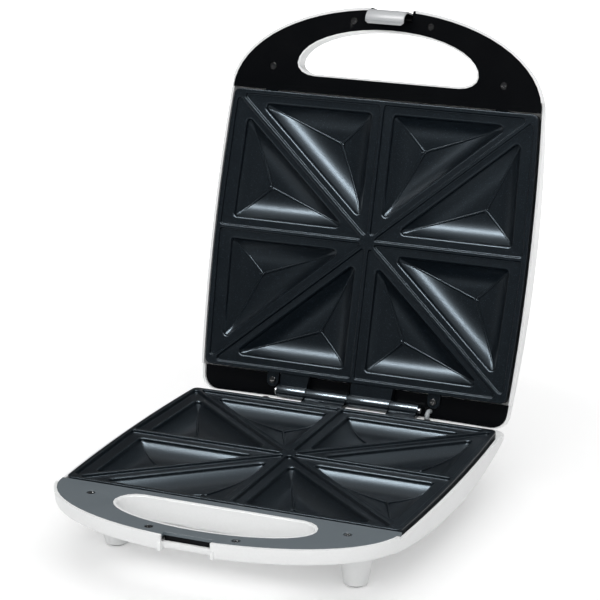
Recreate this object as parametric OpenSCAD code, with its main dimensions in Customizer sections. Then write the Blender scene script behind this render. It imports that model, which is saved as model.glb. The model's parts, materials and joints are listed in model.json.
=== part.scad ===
// Sandwich toaster with a hinged lid, for eight triangular half sandwiches.
// Each half is drawn closed, seen from the hinge: +X right, -Y towards the
// handle, z = 0 on the hinge axis. The lid half is the base half turned over.

/* [Cooking plates] */
// Width of a cooking plate at its corners
plate_w = 250; // [230:1:270]
// Length of a cooking plate, from its back edge to the handle
plate_d = 221; // [205:1:240]
// How far each side of a plate bows out at its middle
plate_bow = 3.5; // [1:0.5:6]
// Radius of a plate's corners
plate_corner = 5; // [2:0.5:10]
// Distance from the hinge axis to a plate's back edge
plate_back = 13.9; // [12:0.1:18]
// Gap between the two plates' ribs when the toaster is shut
plate_gap = 3.2; // [1:0.1:5]
// Thickness of the casting under the pockets
plate_wall = 2.6; // [2:0.1:3.5]
// Height of the skirt round a plate
skirt_h = 9; // [7:0.5:12]
// Width of the raised ribs between the pockets
rib_w = 3; // [2:0.1:5]
// Width of the raised border of a plate
border_w = 3.4; // [2:0.1:5]
// Height of the ribs above the sealing bands
rib_h = 2.4; // [1.5:0.1:3.5]
// Radius of the round boss where the ribs meet
hub_r = 6.5; // [4:0.5:10]

/* [Pockets] */
// Distance of a pocket from the rib along its leg
band_leg = 8.5; // [6:0.1:12]
// Distance of a pocket from the diagonal rib's centre
band_diag = 7; // [5.5:0.1:10]
// Distance of a pocket from the plate's front or back edge
band_end = 10; // [8:0.1:14]
// Distance of a pocket from the plate's side
band_side = 12.5; // [9:0.1:15]
// Radius of a pocket's corners at the lip
pocket_corner = 3.2; // [2:0.1:5]
// Height of a pocket's curved wall
pocket_wall = 7.6; // [5:0.1:9]
// Width of a pocket's curved wall
pocket_sweep = 6.5; // [4:0.1:9]
// Fall of a pocket's three facets to their meeting point
pocket_fall = 3.4; // [1:0.1:5]
// Height of the fold ribs where a pocket's facets meet
fold_h = 1.3; // [0.6:0.1:2]
// Width of a fold rib at the meeting point
fold_w = 2.6; // [1.6:0.1:5]

/* [Housings] */
// Wall of both housings
wall = 2.2; // [1.8:0.1:3]
// Distance from a plate's side to the housing's outside
side_gap = 4.2; // [3.5:0.1:7]
// Distance from the hinge axis to the back of both housings
rear_reach = 6.5; // [5:0.5:8]
// Corner radius at the back of both housings
rear_corner = 12; // [8:1:20]
// Thickness of the handles, from the hinge plane to the outside
handle_t = 14.6; // [13:0.2:18]
// Depth of a housing's side wall at its deepest
side_depth = 24.6; // [20:0.2:30]
// How far the housing's middle swells past its side walls
crown = 8.5; // [6:0.5:14]
// Radius that rounds a housing's outer edge
edge_round = 4; // [2:0.5:6]
// Step down from a handle's rim to the side rim
rim_step = 2.2; // [1:0.1:4]
// Height of the base's back edge below the hinge axis
base_back = 8.9; // [8.6:0.1:12]

/* [Handles] */
// How far a handle reaches past the plates
handle_reach = 72.5; // [60:0.5:85]
// White rim left round a handle cover
rim_w = 2.2; // [1.5:0.1:3]
// Thickness of a handle cover
cover_t = 2.4; // [2:0.1:3.5]
// How far a handle cover lies below the plate's rim
cover_drop = 0.7; // [0.2:0.1:1.5]
// Joint between a plate and its handle cover
cover_joint = 1.2; // [0.5:0.1:2]
// Half width of the finger openings
grip_half_w = 73; // [60:1:78]
// Width of a handle's bar in front of its finger opening
grip_bar = 19.3; // [18.8:0.1:26]
// Distance from the plates to the lid's finger opening
lid_grip_start = 16; // [15:0.5:20]
// Distance from the plates to the base's finger opening
base_grip_start = 10; // [9:0.5:20]
// Wall of the collar round a finger opening
collar_w = 1.5; // [1.2:0.1:2.5]

/* [Latch] */
// Width of the latch
latch_w = 33; // [28:1:40]
// Play at each side of the latch in its notches
latch_play = 1.5; // [0.4:0.1:2]
// Thickness of the latch
latch_t = 2.2; // [1.6:0.1:3]
// Depth of the notches in the handles' rims
notch_depth = 3.5; // [2.5:0.1:4]
// Radius of the latch's pin
latch_pin_r = 1.5; // [1:0.1:2]
// Distance of the latch's pin behind the handle's front
latch_pin_in = 7.4; // [7:0.1:9]
// Depth of the latch's pin below the hinge plane, in the lid
latch_pin_z = 9; // [8:0.1:10]
// How far the latch's lip reaches in under the base's handle
latch_lip = 13.8; // [13:0.1:15]

/* [Hinge] */
// How far the lid opens
lid_open = 104.8; // [95:0.1:108]
// Radius of the hinge knuckles
knuckle_r = 4.75; // [4:0.05:5.5]
// Radius of the hinge pin
pin_r = 2; // [1.5:0.1:2.5]
// Radial clearance of pins in the pieces that turn on them
pin_play = 0.05; // [0.02:0.01:0.1]
// Widths of the four knuckles, from the left
knuckle_w = [24.5, 34.6, 35.5, 23.3];
// Left end of the knuckles
knuckle_x = -59.8; // [-70:0.1:-50]
// Gap between neighbouring knuckles
knuckle_gap = 0.5; // [0.3:0.1:1]

/* [Feet] */
// Height of the hinge axis above the worktop
hinge_h = 50.3; // [45:0.1:60]
// Sideways distance of a foot from the middle
foot_x = 90.5; // [70:0.5:105]
// Distance of the front feet from the hinge axis
foot_front = 224; // [200:1:235]
// Distance of the rear feet from the hinge axis
foot_rear = 24; // [20:1:50]
// Radius of a foot at its end
foot_r = 8.4; // [7:0.1:12]
// Draft of a foot, as growth of its radius per unit of height
foot_draft = 0.2; // [0.1:0.01:0.35]
// How far a rubber pad stands out of its foot
pad_out = 1.2; // [0.8:0.1:2]

/* [Fasteners] */
// Sideways distance of the inner cover screws
inner_screw_x = 31.7; // [26:0.1:40]
// Distance of the inner cover screws behind a handle's front
inner_screw_in = 12.5; // [11:0.1:13.5]
// Sideways distance of the outer cover screws
outer_screw_x = 95; // [90:0.5:105]
// Distance of the outer cover screws from the plates
outer_screw_y = 19.7; // [15:0.1:25]
// Sideways distance of the rear screws
rear_screw_x = 67; // [66:0.5:80]
// Distance of the rear screws from the hinge axis
rear_screw_y = 7.5; // [6.5:0.1:8]
// Radius of a screw's shank
shank_r = 1.5; // [1.2:0.1:1.8]
// Radius of a screw's head
head_r = 2.6; // [2.4:0.1:3]
// Height of a screw's head
head_h = 1.4; // [1.2:0.1:1.5]
// Depth of a screw in the boss that holds it
bite = 6; // [4:0.5:6]

/* [Heating] */
// Radius of the heating element's ring
ring_r = 84; // [76:1:86]
// Radius of the heating element's tube
tube_r = 3.25; // [2.5:0.05:3.4]
// Thickness of the reflector's sheet
sheet = 0.8; // [0.5:0.1:1.2]
// How far the reflector reaches past the middle of the element's tube
reflector_over = 7; // [6.9:0.1:8]
// Distance of the reflector's screws from the hub
post_x = 60; // [50:1:65]
// Radius of the thermostats
thermostat_r = 7.2; // [6:0.1:8]
// Radius of the mains lead's bush
bush_r = 4; // [3:0.1:4.5]
// Radius of the sleeve on the leads that cross the hinge
sleeve_r = 1.8; // [1.5:0.1:2]
// Sideways distance of the indicator lamps
lamp_x = 9; // [7:0.5:14]
// Radius of an indicator's lens
lens_r = 2.6; // [2:0.1:2.8]

/* [Hidden] */

white = "#e8e9e8";
cover_grey = "#3d4347";
cover_black = "#101316";
coating = "#23292f";
silver = "#c4c5c8";
steel = "#a9abad";
rubber = "#2b2b2b";

// Places that follow from the driving sizes
hinge_y = 107.5;
rim_z = -plate_gap/2;
band_z = rim_z - rib_h;
plate_front = -plate_back - plate_d;
plate_mid = -plate_back - plate_d/2;
half_w = plate_w/2;
cover_z = rim_z - cover_drop;
side_rim_z = cover_z - rim_step;
shell_half_w = half_w + side_gap;
handle_front = plate_front - handle_reach;
far = plate_w;
fine = 48;
fit = 0.15;
head_clear = 0.5;
head_sink = 0.35;

// Fasteners: each screw of a cover is a distance out and a distance past the plate
cover_screws = [[inner_screw_x, handle_reach - inner_screw_in], [outer_screw_x, outer_screw_y]];
screw_hole_r = shank_r + 0.3;
pilot_r = shank_r + 0.03;
boss_r = shank_r + 2.3;
lug_r = shank_r + 3.5;
lug_z = cover_z - cover_t;
short_boss = 1;
rear_seat_z = -8;
rear_lug_z = rear_seat_z + plate_wall;

// Heating: the tube clears the deepest pocket, and the reflector clears the tube
tube_z = band_z - plate_wall - pocket_wall - pocket_fall - tube_r - 0.3;
tube_air = 0.8;
reflector_z = tube_z - tube_r - tube_air;
reflector_r = ring_r + reflector_over;
thermostat_z = -13;
channel_w = 2*tube_r + 5;
cold_angle = 8;
cold_x = ring_r*sin(cold_angle);
channel_gap = 2*cold_angle + 16;
posts = [for (a = [0:90:270]) post_x*[cos(a), sin(a)]];
post_r = 3.2;

// Notches, latch and housings
notch_w = latch_w + 2*latch_play;
hook_z = -handle_t - 0.2;
lip_top = cover_z - 5.8;
lip_bottom = hook_z + 0.9;
lip_floor = lip_bottom + 1.8;
grip_reach = handle_reach - grip_bar;
notch_in = grip_bar - collar_w - 0.5;
pin_y = handle_front + latch_pin_in;
barrel_r = 3;
latch_air = 0.8;
latch_bend = 9;
latch_low = hook_z - latch_t;
lid_notch = latch_pin_in + barrel_r + 0.5;
base_notch = notch_depth + wall + 2;
side_over = 5;
belly_over = 12;
deepest_y = -plate_mid;
belly_mid = plate_mid + 12.4;
draft_in = 1;
grip_corner = 24;
tooth = 9.1;
pad_r = foot_r - 1.7;
pad_in = 1.2;
sleeve_x = knuckle_x + knuckle_w[0] + knuckle_w[1] + knuckle_w[2] + knuckle_w[3] + 6.4;
sleeve_end = 2.6;
bush_x = -40;
bush_z = -17;
lamp_y = plate_front - 9.3;
lamp_z = -handle_t + wall + 1.25;
lamp_r = 2;
lid_back = 7;
foot_h = hinge_h - pad_out - handle_t + wall/2;
terminal_posts = [14, 38];
terminal_y = -4;
terminal_z = -21;

// The lid and everything on it, in its resting place, wide open
module open_lid() {
    translate([0, hinge_y, hinge_h]) rotate([-lid_open, 0, 0]) children();
}

module base() {
    translate([0, hinge_y, hinge_h]) children();
}

// Points along an arc about c, from angle a to angle b
function arc(c, r, a, b, n) =
    [for (i = [0:n]) c + r*[cos(a + (b - a)*i/n), sin(a + (b - a)*i/n)]];

function mirrored(points) = [for (i = [len(points)-1:-1:0]) [-points[i][0], points[i][1]]];

// Half width of a plate at a distance y from its middle, bowed like a shallow arc
function bowed(y, grow) = half_w + grow + plate_bow*(1 - pow(2*y/plate_d, 2));

// Outline of a plate, grown by a margin, with bowed sides and round corners
function plate_outline(grow) =
    let (r = plate_corner, e = plate_d/2 + grow, n = 10,
         x_end = bowed(e - r, grow) - r,
         right = concat(
            arc([x_end, -e + r], r, -90, 0, 4),
            [for (i = [1:n-1]) let (y = (e - r)*(2*i/n - 1)) [bowed(y, grow), y]],
            arc([x_end, e - r], r, 0, 90, 4)))
    concat(right, mirrored(right));

// The eight triangular cells. Each is hub, middle of an edge and corner,
// with the setbacks of its three sides in the same order.
function cell(side, sx, sy) =
    let (hub = [0, 0], corner = [sx*half_w, sy*plate_d/2],
         mid = side ? [sx*(half_w + plate_bow), 0] : [0, sy*plate_d/2],
         edge = side ? band_side : band_end,
         turn = (side ? 1 : -1)*sx*sy)
    turn > 0 ? [[hub, mid, corner], [band_leg, edge, band_diag]]
             : [[hub, corner, mid], [band_diag, edge, band_leg]];
CELLS = [for (side = [true, false]) for (sx = [-1, 1]) for (sy = [-1, 1]) cell(side, sx, sy)];

function unit(v) = v/norm(v);
function left_of(v) = [-v[1], v[0]];

// Corner i of triangle t after each side moves in by its setback plus w
function set_in(t, d, w, i) =
    let (u = unit(t[i] - t[(i+2)%3]), v = unit(t[(i+1)%3] - t[i]),
         p = t[i] + left_of(u)*(d[(i+2)%3] + w), q = t[i] + left_of(v)*(d[i] + w))
    p + u*cross(q - p, v)/cross(u, v);

// Ring of points round a triangle set in by w, its corners rounded by r
function tri_ring(t, d, w, r, n = 3) =
    [for (i = [0:2])
        let (u = unit(t[i] - t[(i+2)%3]), v = unit(t[(i+1)%3] - t[i]),
             turn = acos(u*v), p = set_in(t, d, w, i),
             c = p + unit(v - u)*r/cos(turn/2),
             a = atan2(-u[0], u[1]))
        each arc(c, r, a, a + turn, n)];

// Point where the three folds of a pocket meet
function fold_point(t, d) =
    let (a = set_in(t, d, 0, 0), b = set_in(t, d, 0, 1), c = set_in(t, d, 0, 2),
         la = norm(b - c), lb = norm(c - a), lc = norm(a - b))
    (a*la + b*lb + c*lc)/(la + lb + lc);

// Solid between stacked rings of equal length, closed by a flat cap at one end
// and by a fan to a tip at the other
module tipped_loft(rings, tip) {
    n = len(rings[0]);
    m = len(rings);
    points = concat([for (ring = rings) each ring], [tip]);
    sides = [for (k = [0:m-2]) for (i = [0:n-1])
        let (a = k*n + i, b = k*n + (i+1)%n, c = a + n, d = b + n) each [[a, b, d], [a, d, c]]];
    fan = [for (i = [0:n-1]) [(m-1)*n + i, (m-1)*n + (i+1)%n, m*n]];
    polyhedron(points, concat([[for (i = [n-1:-1:0]) i]], sides, fan));
}

function raise(ring, z) = [for (p = ring) [p[0], p[1], z]];

// A pocket's curved wall follows a quarter of an ellipse, then three facets
// fall to the fold point. The same form, thicker by skin, is the metal under it.
module pocket(t, d, skin, steps) {
    rise = skin > 0 ? [-skin, band_z - 0.5] : [-0.5, rim_z + 1];
    sweep = [for (a = steps)
        [pocket_sweep*(1 - cos(a)) - skin, band_z - skin - pocket_wall*sin(a)]];
    levels = concat([rise], sweep);
    rings = [for (l = levels)
        raise(tri_ring(t, d, l[0], max(pocket_corner - l[0], 0.5)), l[1])];
    tip = fold_point(t, d);
    tipped_loft(rings, [tip[0], tip[1], band_z - skin - pocket_wall - pocket_fall]);
}

// Ridge that grows from a pocket's corner to the fold point
module fold(t, d, i) {
    foot = set_in(t, d, pocket_sweep, i);
    tip = fold_point(t, d);
    across = left_of(unit(tip - foot))*fold_w/2;
    z_foot = band_z - pocket_wall;
    z_tip = z_foot - pocket_fall;
    sink = 0.9;
    polyhedron(
        [[foot[0], foot[1], z_foot + 0.05],
         [foot[0], foot[1], z_foot - sink],
         [tip[0] + across[0], tip[1] + across[1], z_tip - sink/2],
         [tip[0] - across[0], tip[1] - across[1], z_tip - sink/2],
         [tip[0], tip[1], z_tip + fold_h],
         [tip[0], tip[1], z_tip - sink - 0.2]],
        [[0, 4, 2], [0, 3, 4], [0, 2, 1], [0, 1, 3], [1, 2, 5], [1, 5, 3], [2, 4, 5], [3, 5, 4]]);
}

// One cooking plate, with the knuckles named in mine
module cooking_plate(mine) {
    difference() {
        union() {
            translate([0, plate_mid, 0]) plate_body();
            for (s = [-1, 1]) {
                translate([s*outer_screw_x, plate_front - outer_screw_y, lug_z - plate_wall])
                    lug(outer_screw_y);
                translate([s*rear_screw_x, -rear_screw_y, rear_seat_z])
                    rotate([0, 0, 180]) lug(plate_back - rear_screw_y);
            }
            for (i = mine) knuckle(i);
        }
        for (s = [-1, 1]) {
            translate([s*outer_screw_x, plate_front - outer_screw_y, lug_z - plate_wall - 1])
                cylinder(h = plate_wall + 2, r = screw_hole_r, $fn = fine);
            translate([s*rear_screw_x, -rear_screw_y, rear_seat_z - 1])
                cylinder(h = plate_wall + 2, r = screw_hole_r, $fn = fine);
        }
        for (i = mine) translate([knuckle_start(i) - 1, 0, 0]) rotate([0, 90, 0])
            cylinder(h = knuckle_w[i] + 2, r = pin_r + pin_play, $fn = fine);
    }
}

module plate_body() {
    difference() {
        union() {
            translate([0, 0, band_z - plate_wall])
                linear_extrude(rim_z - band_z + plate_wall) polygon(plate_outline(0));
            translate([0, 0, rim_z - skirt_h]) linear_extrude(skirt_h - 0.5) difference() {
                polygon(plate_outline(0));
                polygon(plate_outline(-plate_wall));
            }
            for (c = CELLS) pocket(c[0], c[1], plate_wall, [15, 50, 90]);
            heater_channel();
            for (p = posts) translate([p[0], p[1], reflector_z])
                cylinder(h = band_z - plate_wall/2 - reflector_z, r = post_r, $fn = fine);
            translate([0, 0, thermostat_z])
                cylinder(h = band_z - plate_wall/2 - thermostat_z, r = thermostat_r, $fn = fine);
        }
        for (c = CELLS) {
            difference() {
                translate([0, 0, band_z]) linear_extrude(rib_h + 1)
                    polygon(tri_ring(c[0], to_ribs(c[1]), 0, 0.8));
                translate([0, 0, band_z - 1]) cylinder(h = rib_h + 3, r = hub_r, $fn = fine);
            }
            pocket(c[0], c[1], 0, [0, 28, 55, 90]);
        }
        for (p = posts) translate([p[0], p[1], reflector_z - 1])
            cylinder(h = bite + 1, r = pilot_r, $fn = fine);
    }
    for (c = CELLS) for (i = [0:2]) fold(c[0], c[1], i);
}

// Setbacks of the sealing band: half a rib inside, the whole border at an edge
function to_ribs(d) = [for (s = d) s == band_leg || s == band_diag ? rib_w/2 : border_w];

// Ring wall under the pockets, grooved for the heating element
module heater_channel() {
    rotate([0, 0, 90 + channel_gap/2]) rotate_extrude(angle = 360 - channel_gap, $fn = 96)
        difference() {
            translate([ring_r - channel_w/2, tube_z])
                square([channel_w, band_z - pocket_wall/2 - tube_z]);
            translate([ring_r, tube_z]) circle(tube_r + 0.1, $fn = fine);
        }
}

// Ear that reaches out of the skirt to a screw
module lug(reach) {
    linear_extrude(plate_wall) {
        circle(lug_r, $fn = fine);
        translate([-lug_r, 0]) square([2*lug_r, reach + plate_wall/2]);
    }
}

function knuckle_start(i) = i == 0 ? knuckle_x : knuckle_start(i - 1) + knuckle_w[i - 1];

// Hinge knuckle with the arm that carries it from the back of the skirt
module knuckle(i) {
    root = -plate_back - plate_wall/2;
    translate([knuckle_start(i) + knuckle_gap/2, 0, 0]) rotate([90, 0, 90])
        linear_extrude(knuckle_w[i] - knuckle_gap) {
            circle(knuckle_r, $fn = fine);
            polygon([[0, -knuckle_r], [0, -knuckle_r/2], [root, rim_z - 1],
                     [root, rear_seat_z + 0.6]]);
        }
}

// Ring element whose cold ends leave towards the hinge in two end sleeves
module heater() {
    color(steel) translate([0, plate_mid, tube_z]) {
        rotate([0, 0, 90 + cold_angle]) rotate_extrude(angle = 360 - 2*cold_angle, $fn = 96)
            translate([ring_r, 0]) circle(tube_r, $fn = fine);
        for (s = [-1, 1])
            translate([s*ring_r*sin(cold_angle), ring_r*cos(cold_angle), 0]) rotate([-90, 0, 0]) {
                translate([0, 0, -tube_r - 0.4])
                    cylinder(h = tube_r + 10, r = tube_r + 0.4, $fn = fine);
                cylinder(h = 15, r = 1.2, $fn = fine);
            }
    }
}

// Pressed dish that throws the element's heat back at the plate
module reflector() {
    lip = 6;
    color(steel) translate([0, plate_mid, reflector_z]) difference() {
        union() {
            translate([0, 0, -sheet]) cylinder(h = sheet, r = reflector_r, $fn = 96);
            difference() {
                translate([0, 0, -sheet]) cylinder(h = lip, r = reflector_r, $fn = 96);
                translate([0, 0, -1]) cylinder(h = lip + 2, r = reflector_r - sheet, $fn = 96);
            }
        }
        for (p = posts) translate([p[0], p[1], -2])
            cylinder(h = 4, r = screw_hole_r, $fn = fine);
        translate([0, 0, -2]) cylinder(h = 4, r = thermostat_r + 1.5, $fn = fine);
        translate([-cold_x - tube_r - 2, ring_r, 0.5])
            cube([2*(cold_x + tube_r + 2), 20, lip]);
    }
}

// Screw with the underside of its head at z = 0 and its shank hanging down
module pan_screw(length) {
    difference() {
        cylinder(h = head_h, r = head_r, $fn = fine);
        for (a = [0, 90]) rotate([0, 0, a]) translate([-head_r*0.6, -0.3, head_h - 0.7])
            cube([head_r*1.2, 0.6, 1]);
    }
    translate([0, 0, -length]) cylinder(h = length + 0.2, r = shank_r, $fn = fine);
}

module reflector_screws() {
    color(steel) translate([0, plate_mid, reflector_z - sheet])
        for (p = posts) translate([p[0], p[1], 0])
            mirror([0, 0, 1]) pan_screw(sheet + bite - 0.5);
}

// Disc thermostat pressed against its pad under the hub
module thermostat() {
    can_h = thermostat_z - reflector_z - 0.6;
    color("#d8d2c4") translate([0, plate_mid, reflector_z]) {
        translate([0, 0, 0.6]) cylinder(h = can_h - 0.1, r = thermostat_r - 0.7, $fn = fine);
        for (s = [-1, 1]) translate([s*4 - 1.5, -0.4, -1.6]) cube([3, 0.8, 3]);
    }
}

// Depth of a housing's lower edge at the side walls, an arc deepest near the middle
function side_z(y) =
    let (half = plate_back + plate_d + side_over - deepest_y, v = (y + deepest_y)/half)
    -max(handle_t, side_depth - (side_depth - handle_t)*v*v);

// Depth along the housing's middle line, a long flat swell
function keel_z(y) =
    let (v = (y - belly_mid)/(belly_mid - plate_front + belly_over))
    -handle_t - (side_depth + crown - handle_t)*sqrt(max(0, 1 - pow(v, 4)));

// Outside of a housing's bottom anywhere between the middle line and the sides
function under(x, y) =
    let (u = min(1, abs(x)/(shell_half_w + plate_bow)))
    side_z(y) + (keel_z(y) - side_z(y))*(1 - pow(u, 4));

// Right half of a housing's outline, from the handle's tip to the middle of the back
function outline_half() =
    let (r = rear_corner, y_end = rear_reach - r, x_end = bowed(y_end - plate_mid, side_gap))
    concat(
        [for (i = [0:16]) let (a = 90 - 90*i/16)
            [shell_half_w*cos(a), plate_front - handle_reach*sin(a)]],
        [for (i = [1:9]) let (y = plate_front + (y_end - plate_front)*i/9)
            [bowed(y - plate_mid, side_gap), y]],
        [for (a = [18:18:90]) [x_end - r + r*cos(a), y_end + r*sin(a)]],
        [[0, rear_reach]]);

HALF = outline_half();
OUTLINE = concat(HALF, [for (i = [len(HALF)-2:-1:1]) [-HALF[i][0], HALF[i][1]]]);

// Nearest point of the housing's middle line, short of both ends
function spine(p) = [0, max(plate_front + 20, min(p[1], -20))];

// The outline moved in by a distance, or by a share of the way to the middle line
function moved_in(d) = [for (p = OUTLINE) p + unit(spine(p) - p)*d];
function shared_in(s) = [for (p = OUTLINE) p + (spine(p) - p)*s];
function on_under(ring, lift) = [for (p = ring) [p[0], p[1], under(p[0], p[1]) + lift]];
SHARES = [0.88, 0.7, 0.5, 0.3, 0.14];

// Closed solid through rings that are mirror images about x = 0, closed at
// both ends by strips from side to side
module mirrored_loft(rings) {
    n = len(rings[0]);
    m = len(rings);
    sides = [for (k = [0:m-2]) for (i = [0:n-1])
        let (a = k*n + i, b = k*n + (i+1)%n, c = a + n, d = b + n) each [[a, d, b], [a, c, d]]];
    bottom = [for (i = [0:n/2-1]) strip(i, n)];
    top = [for (f = bottom) [for (j = [len(f)-1:-1:0]) f[j] + (m-1)*n]];
    polyhedron([for (ring = rings) each ring], concat(bottom, sides, top));
}

// Corners of the strip between two neighbours on the right and their twins
function strip(i, n) =
    i == 0 ? [0, 1, n - 1] : i == n/2 - 1 ? [i, i + 1, i + 2] : [i, i + 1, n - i - 1, n - i];

module housing_outside() {
    e = edge_round;
    mirrored_loft(concat(
        [for (s = SHARES) on_under(shared_in(s), 0)],
        [on_under(moved_in(draft_in + e), 0),
         on_under(moved_in(draft_in + 0.3*e), 0.3*e),
         on_under(moved_in(draft_in), e),
         raise(OUTLINE, cover_z)]));
}

module housing_inside() {
    e = edge_round;
    mirrored_loft(concat(
        [for (s = SHARES) on_under(shared_in(s), wall)],
        [on_under(moved_in(draft_in + wall + 0.7*e), wall),
         on_under(moved_in(draft_in + wall), e),
         raise(moved_in(rim_w), cover_z - cover_t - 0.5),
         raise(moved_in(rim_w), cover_z + 0.01)]));
}

// Outline of a finger opening, counted from the plates: nearly flat on their
// side, bowed in front
function grip_outline(start, grow) =
    let (c = grip_corner, w = grip_half_w + grow, corner = 15)
    concat(
        [for (a = [0:9:180]) [w*cos(a), -c - (grip_reach - c + grow)*sin(a)]],
        [for (a = [22.5:22.5:90]) [-w + corner*(1 - cos(a)), -c + (c - start + grow)*sin(a)]],
        [for (a = [90:-22.5:22.5]) [w - corner*(1 - cos(a)), -c + (c - start + grow)*sin(a)]]);

module grip_prism(start, grow, z0, z1) {
    translate([0, plate_front, z0]) linear_extrude(z1 - z0) polygon(grip_outline(start, grow));
}

function boss_top(i) = i == 0 ? cover_z - cover_t : lug_z - plate_wall;

// Post from a housing's bottom up to z_top, with a hole for a screw
module boss(x, y, z_top) {
    z0 = under(x, y) + wall/2;
    translate([x, y, z0]) difference() {
        cylinder(h = z_top - z0, r = boss_r, $fn = fine);
        translate([0, 0, z_top - z0 - bite]) cylinder(h = bite + 1, r = pilot_r, $fn = fine);
    }
}

// Housing of either half, with what both share. Feet are drawn by children.
module housing(grip_start, rear_z, boss_z) {
    difference() {
        union() {
            difference() {
                union() {
                    housing_outside();
                    children();
                }
                housing_inside();
                translate([-far, plate_front - tooth, side_rim_z]) cube([2*far, 2*far, 20]);
                translate([-far, -plate_back + 0.8, rear_z]) cube([2*far, far, 20]);
            }
            intersection() {
                housing_outside();
                grip_prism(grip_start, collar_w, -side_depth, cover_z);
            }
        }
        grip_prism(grip_start, 0, -side_depth - crown, cover_z + 1);
    }
    for (s = [-1, 1]) {
        for (i = [0, 1])
            boss(s*cover_screws[i][0], plate_front - cover_screws[i][1], boss_top(i));
        boss(s*rear_screw_x, -rear_screw_y, boss_z);
    }
}

// Cover of a handle, cut away at the notch
module handle_cover(grip_start, notch) {
    difference() {
        translate([0, 0, cover_z - cover_t]) linear_extrude(cover_t) difference() {
            polygon(moved_in(rim_w + fit));
            translate([-far, plate_front - cover_joint]) square([2*far, 2*far]);
            translate([0, plate_front]) polygon(grip_outline(grip_start, collar_w + fit));
            translate([-notch_w/2, handle_front - 1]) square([notch_w, notch + 1]);
        }
        for (s = [-1, 1]) for (p = cover_screws)
            translate([s*p[0], plate_front - p[1], cover_z]) {
                translate([0, 0, -head_h - head_sink])
                    cylinder(h = 5, r = head_r + head_clear, $fn = fine);
                translate([0, 0, -cover_t - 1]) cylinder(h = cover_t, r = screw_hole_r, $fn = fine);
            }
    }
}

module cover_screws_of_one_half() {
    through = cover_t - head_h - head_sink;
    color("#15181a") for (s = [-1, 1]) for (i = [0, 1])
        translate([s*cover_screws[i][0], plate_front - cover_screws[i][1], lug_z + through])
            pan_screw(through + (i == 1 ? plate_wall - short_boss : 0) + bite - 0.5);
}

module rear_screws(under_lug) {
    color("#15181a") for (s = [-1, 1])
        translate([s*rear_screw_x, -rear_screw_y, rear_lug_z])
            pan_screw(plate_wall + under_lug + bite - 0.5);
}

// Sleeve on the leads that cross the hinge, ending short of the axis
module lead_sleeve() {
    color("#e9e7df") translate([sleeve_x, 0, -20])
        cylinder(h = 20 - sleeve_end, r = sleeve_r, $fn = fine);
}

module base_shell() {
    color(white) base() difference() {
        union() {
            housing(base_grip_start, -base_back, rear_seat_z)
                for (s = [-1, 1]) for (y = [-foot_front, -foot_rear])
                    translate([s*foot_x, y, pad_out - hinge_h]) cylinder(
                        h = foot_h, r1 = foot_r, r2 = foot_r + foot_draft*foot_h, $fn = fine);
            keeper();
            rear_deck();
            for (x = terminal_posts) boss(x, terminal_y, terminal_z);
        }
        keeper_cuts();
        for (s = [-1, 1]) translate([s*rear_screw_x, -rear_screw_y, rear_seat_z - bite])
            cylinder(h = bite + 1, r = pilot_r, $fn = fine);
        for (s = [-1, 1]) for (y = [-foot_front, -foot_rear]) translate([s*foot_x, y, -hinge_h]) {
            cylinder(h = pad_out + pad_in, r = pad_r + fit, $fn = fine);
            translate([0, 0, pad_out + pad_in + wall])
                cylinder(h = foot_h, r = foot_r - wall, $fn = fine);
        }
        translate([sleeve_x, 0, -base_back - wall - 1])
            cylinder(h = wall + 2, r = sleeve_r + fit, $fn = fine);
        translate([bush_x, 0, bush_z]) rotate([-90, 0, 0])
            cylinder(h = 20, r = bush_r + fit, $fn = fine);
    }
}

// Deck moulded across the back of the base, under the hinge
module rear_deck() {
    translate([0, 0, -base_back - wall]) linear_extrude(wall) intersection() {
        polygon(moved_in(wall/2));
        translate([-far, -plate_back + 0.8]) square([2*far, far]);
    }
}

// Thickening in the front of the base's handle that the latch hooks under
module keeper() {
    translate([-notch_w/2 - wall, handle_front + wall/2, -handle_t + wall/2])
        cube([notch_w + 2*wall, notch_in + collar_w - wall/2, handle_t - wall/2 + lip_top]);
}

// Recess in front of the keeper, the trench behind its lip, and room for the
// hook, whose bend the keeper's lower edge follows at a small distance
module keeper_cuts() {
    slope = 3.3;
    low = -handle_t - 1;
    bend_y = handle_front + latch_air + latch_bend;
    bend_z = latch_low + latch_bend;
    bend_r = latch_bend - latch_t - 0.6;
    trench = notch_depth + wall + 0.8;
    translate([-notch_w/2, handle_front - 10, -20]) cube([notch_w, 10 + notch_depth, 30]);
    translate([-notch_w/2, handle_front + trench, lip_floor])
        cube([notch_w, notch_in - trench, 20]);
    difference() {
        translate([-notch_w/2, handle_front, bend_z - 20])
            cube([notch_w, bend_y - handle_front, 20]);
        translate([-notch_w, bend_y, bend_z]) rotate([0, 90, 0])
            cylinder(h = 2*notch_w, r = bend_r, $fn = fine);
    }
    translate([0, handle_front + notch_in, 0]) rotate([90, 0, 0]) linear_extrude(notch_in + 1)
        polygon([[-notch_w/2 - slope, low], [-notch_w/2, lip_bottom],
                 [notch_w/2, lip_bottom], [notch_w/2 + slope, low]]);
}

module foot_pads() {
    color(rubber) base() for (s = [-1, 1]) for (y = [-foot_front, -foot_rear])
        translate([s*foot_x, y, -hinge_h]) cylinder(h = pad_out + pad_in, r = pad_r, $fn = fine);
}

module base_handle_cover() {
    color(cover_grey) base() handle_cover(base_grip_start, base_notch);
}

// Dark strip that closes the trench behind the keeper
module keeper_strip() {
    color(cover_black) base() translate([fit - notch_w/2, handle_front + base_notch, lip_floor])
        cube([notch_w - 2*fit, wall, lug_z - lip_floor]);
}

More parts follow.
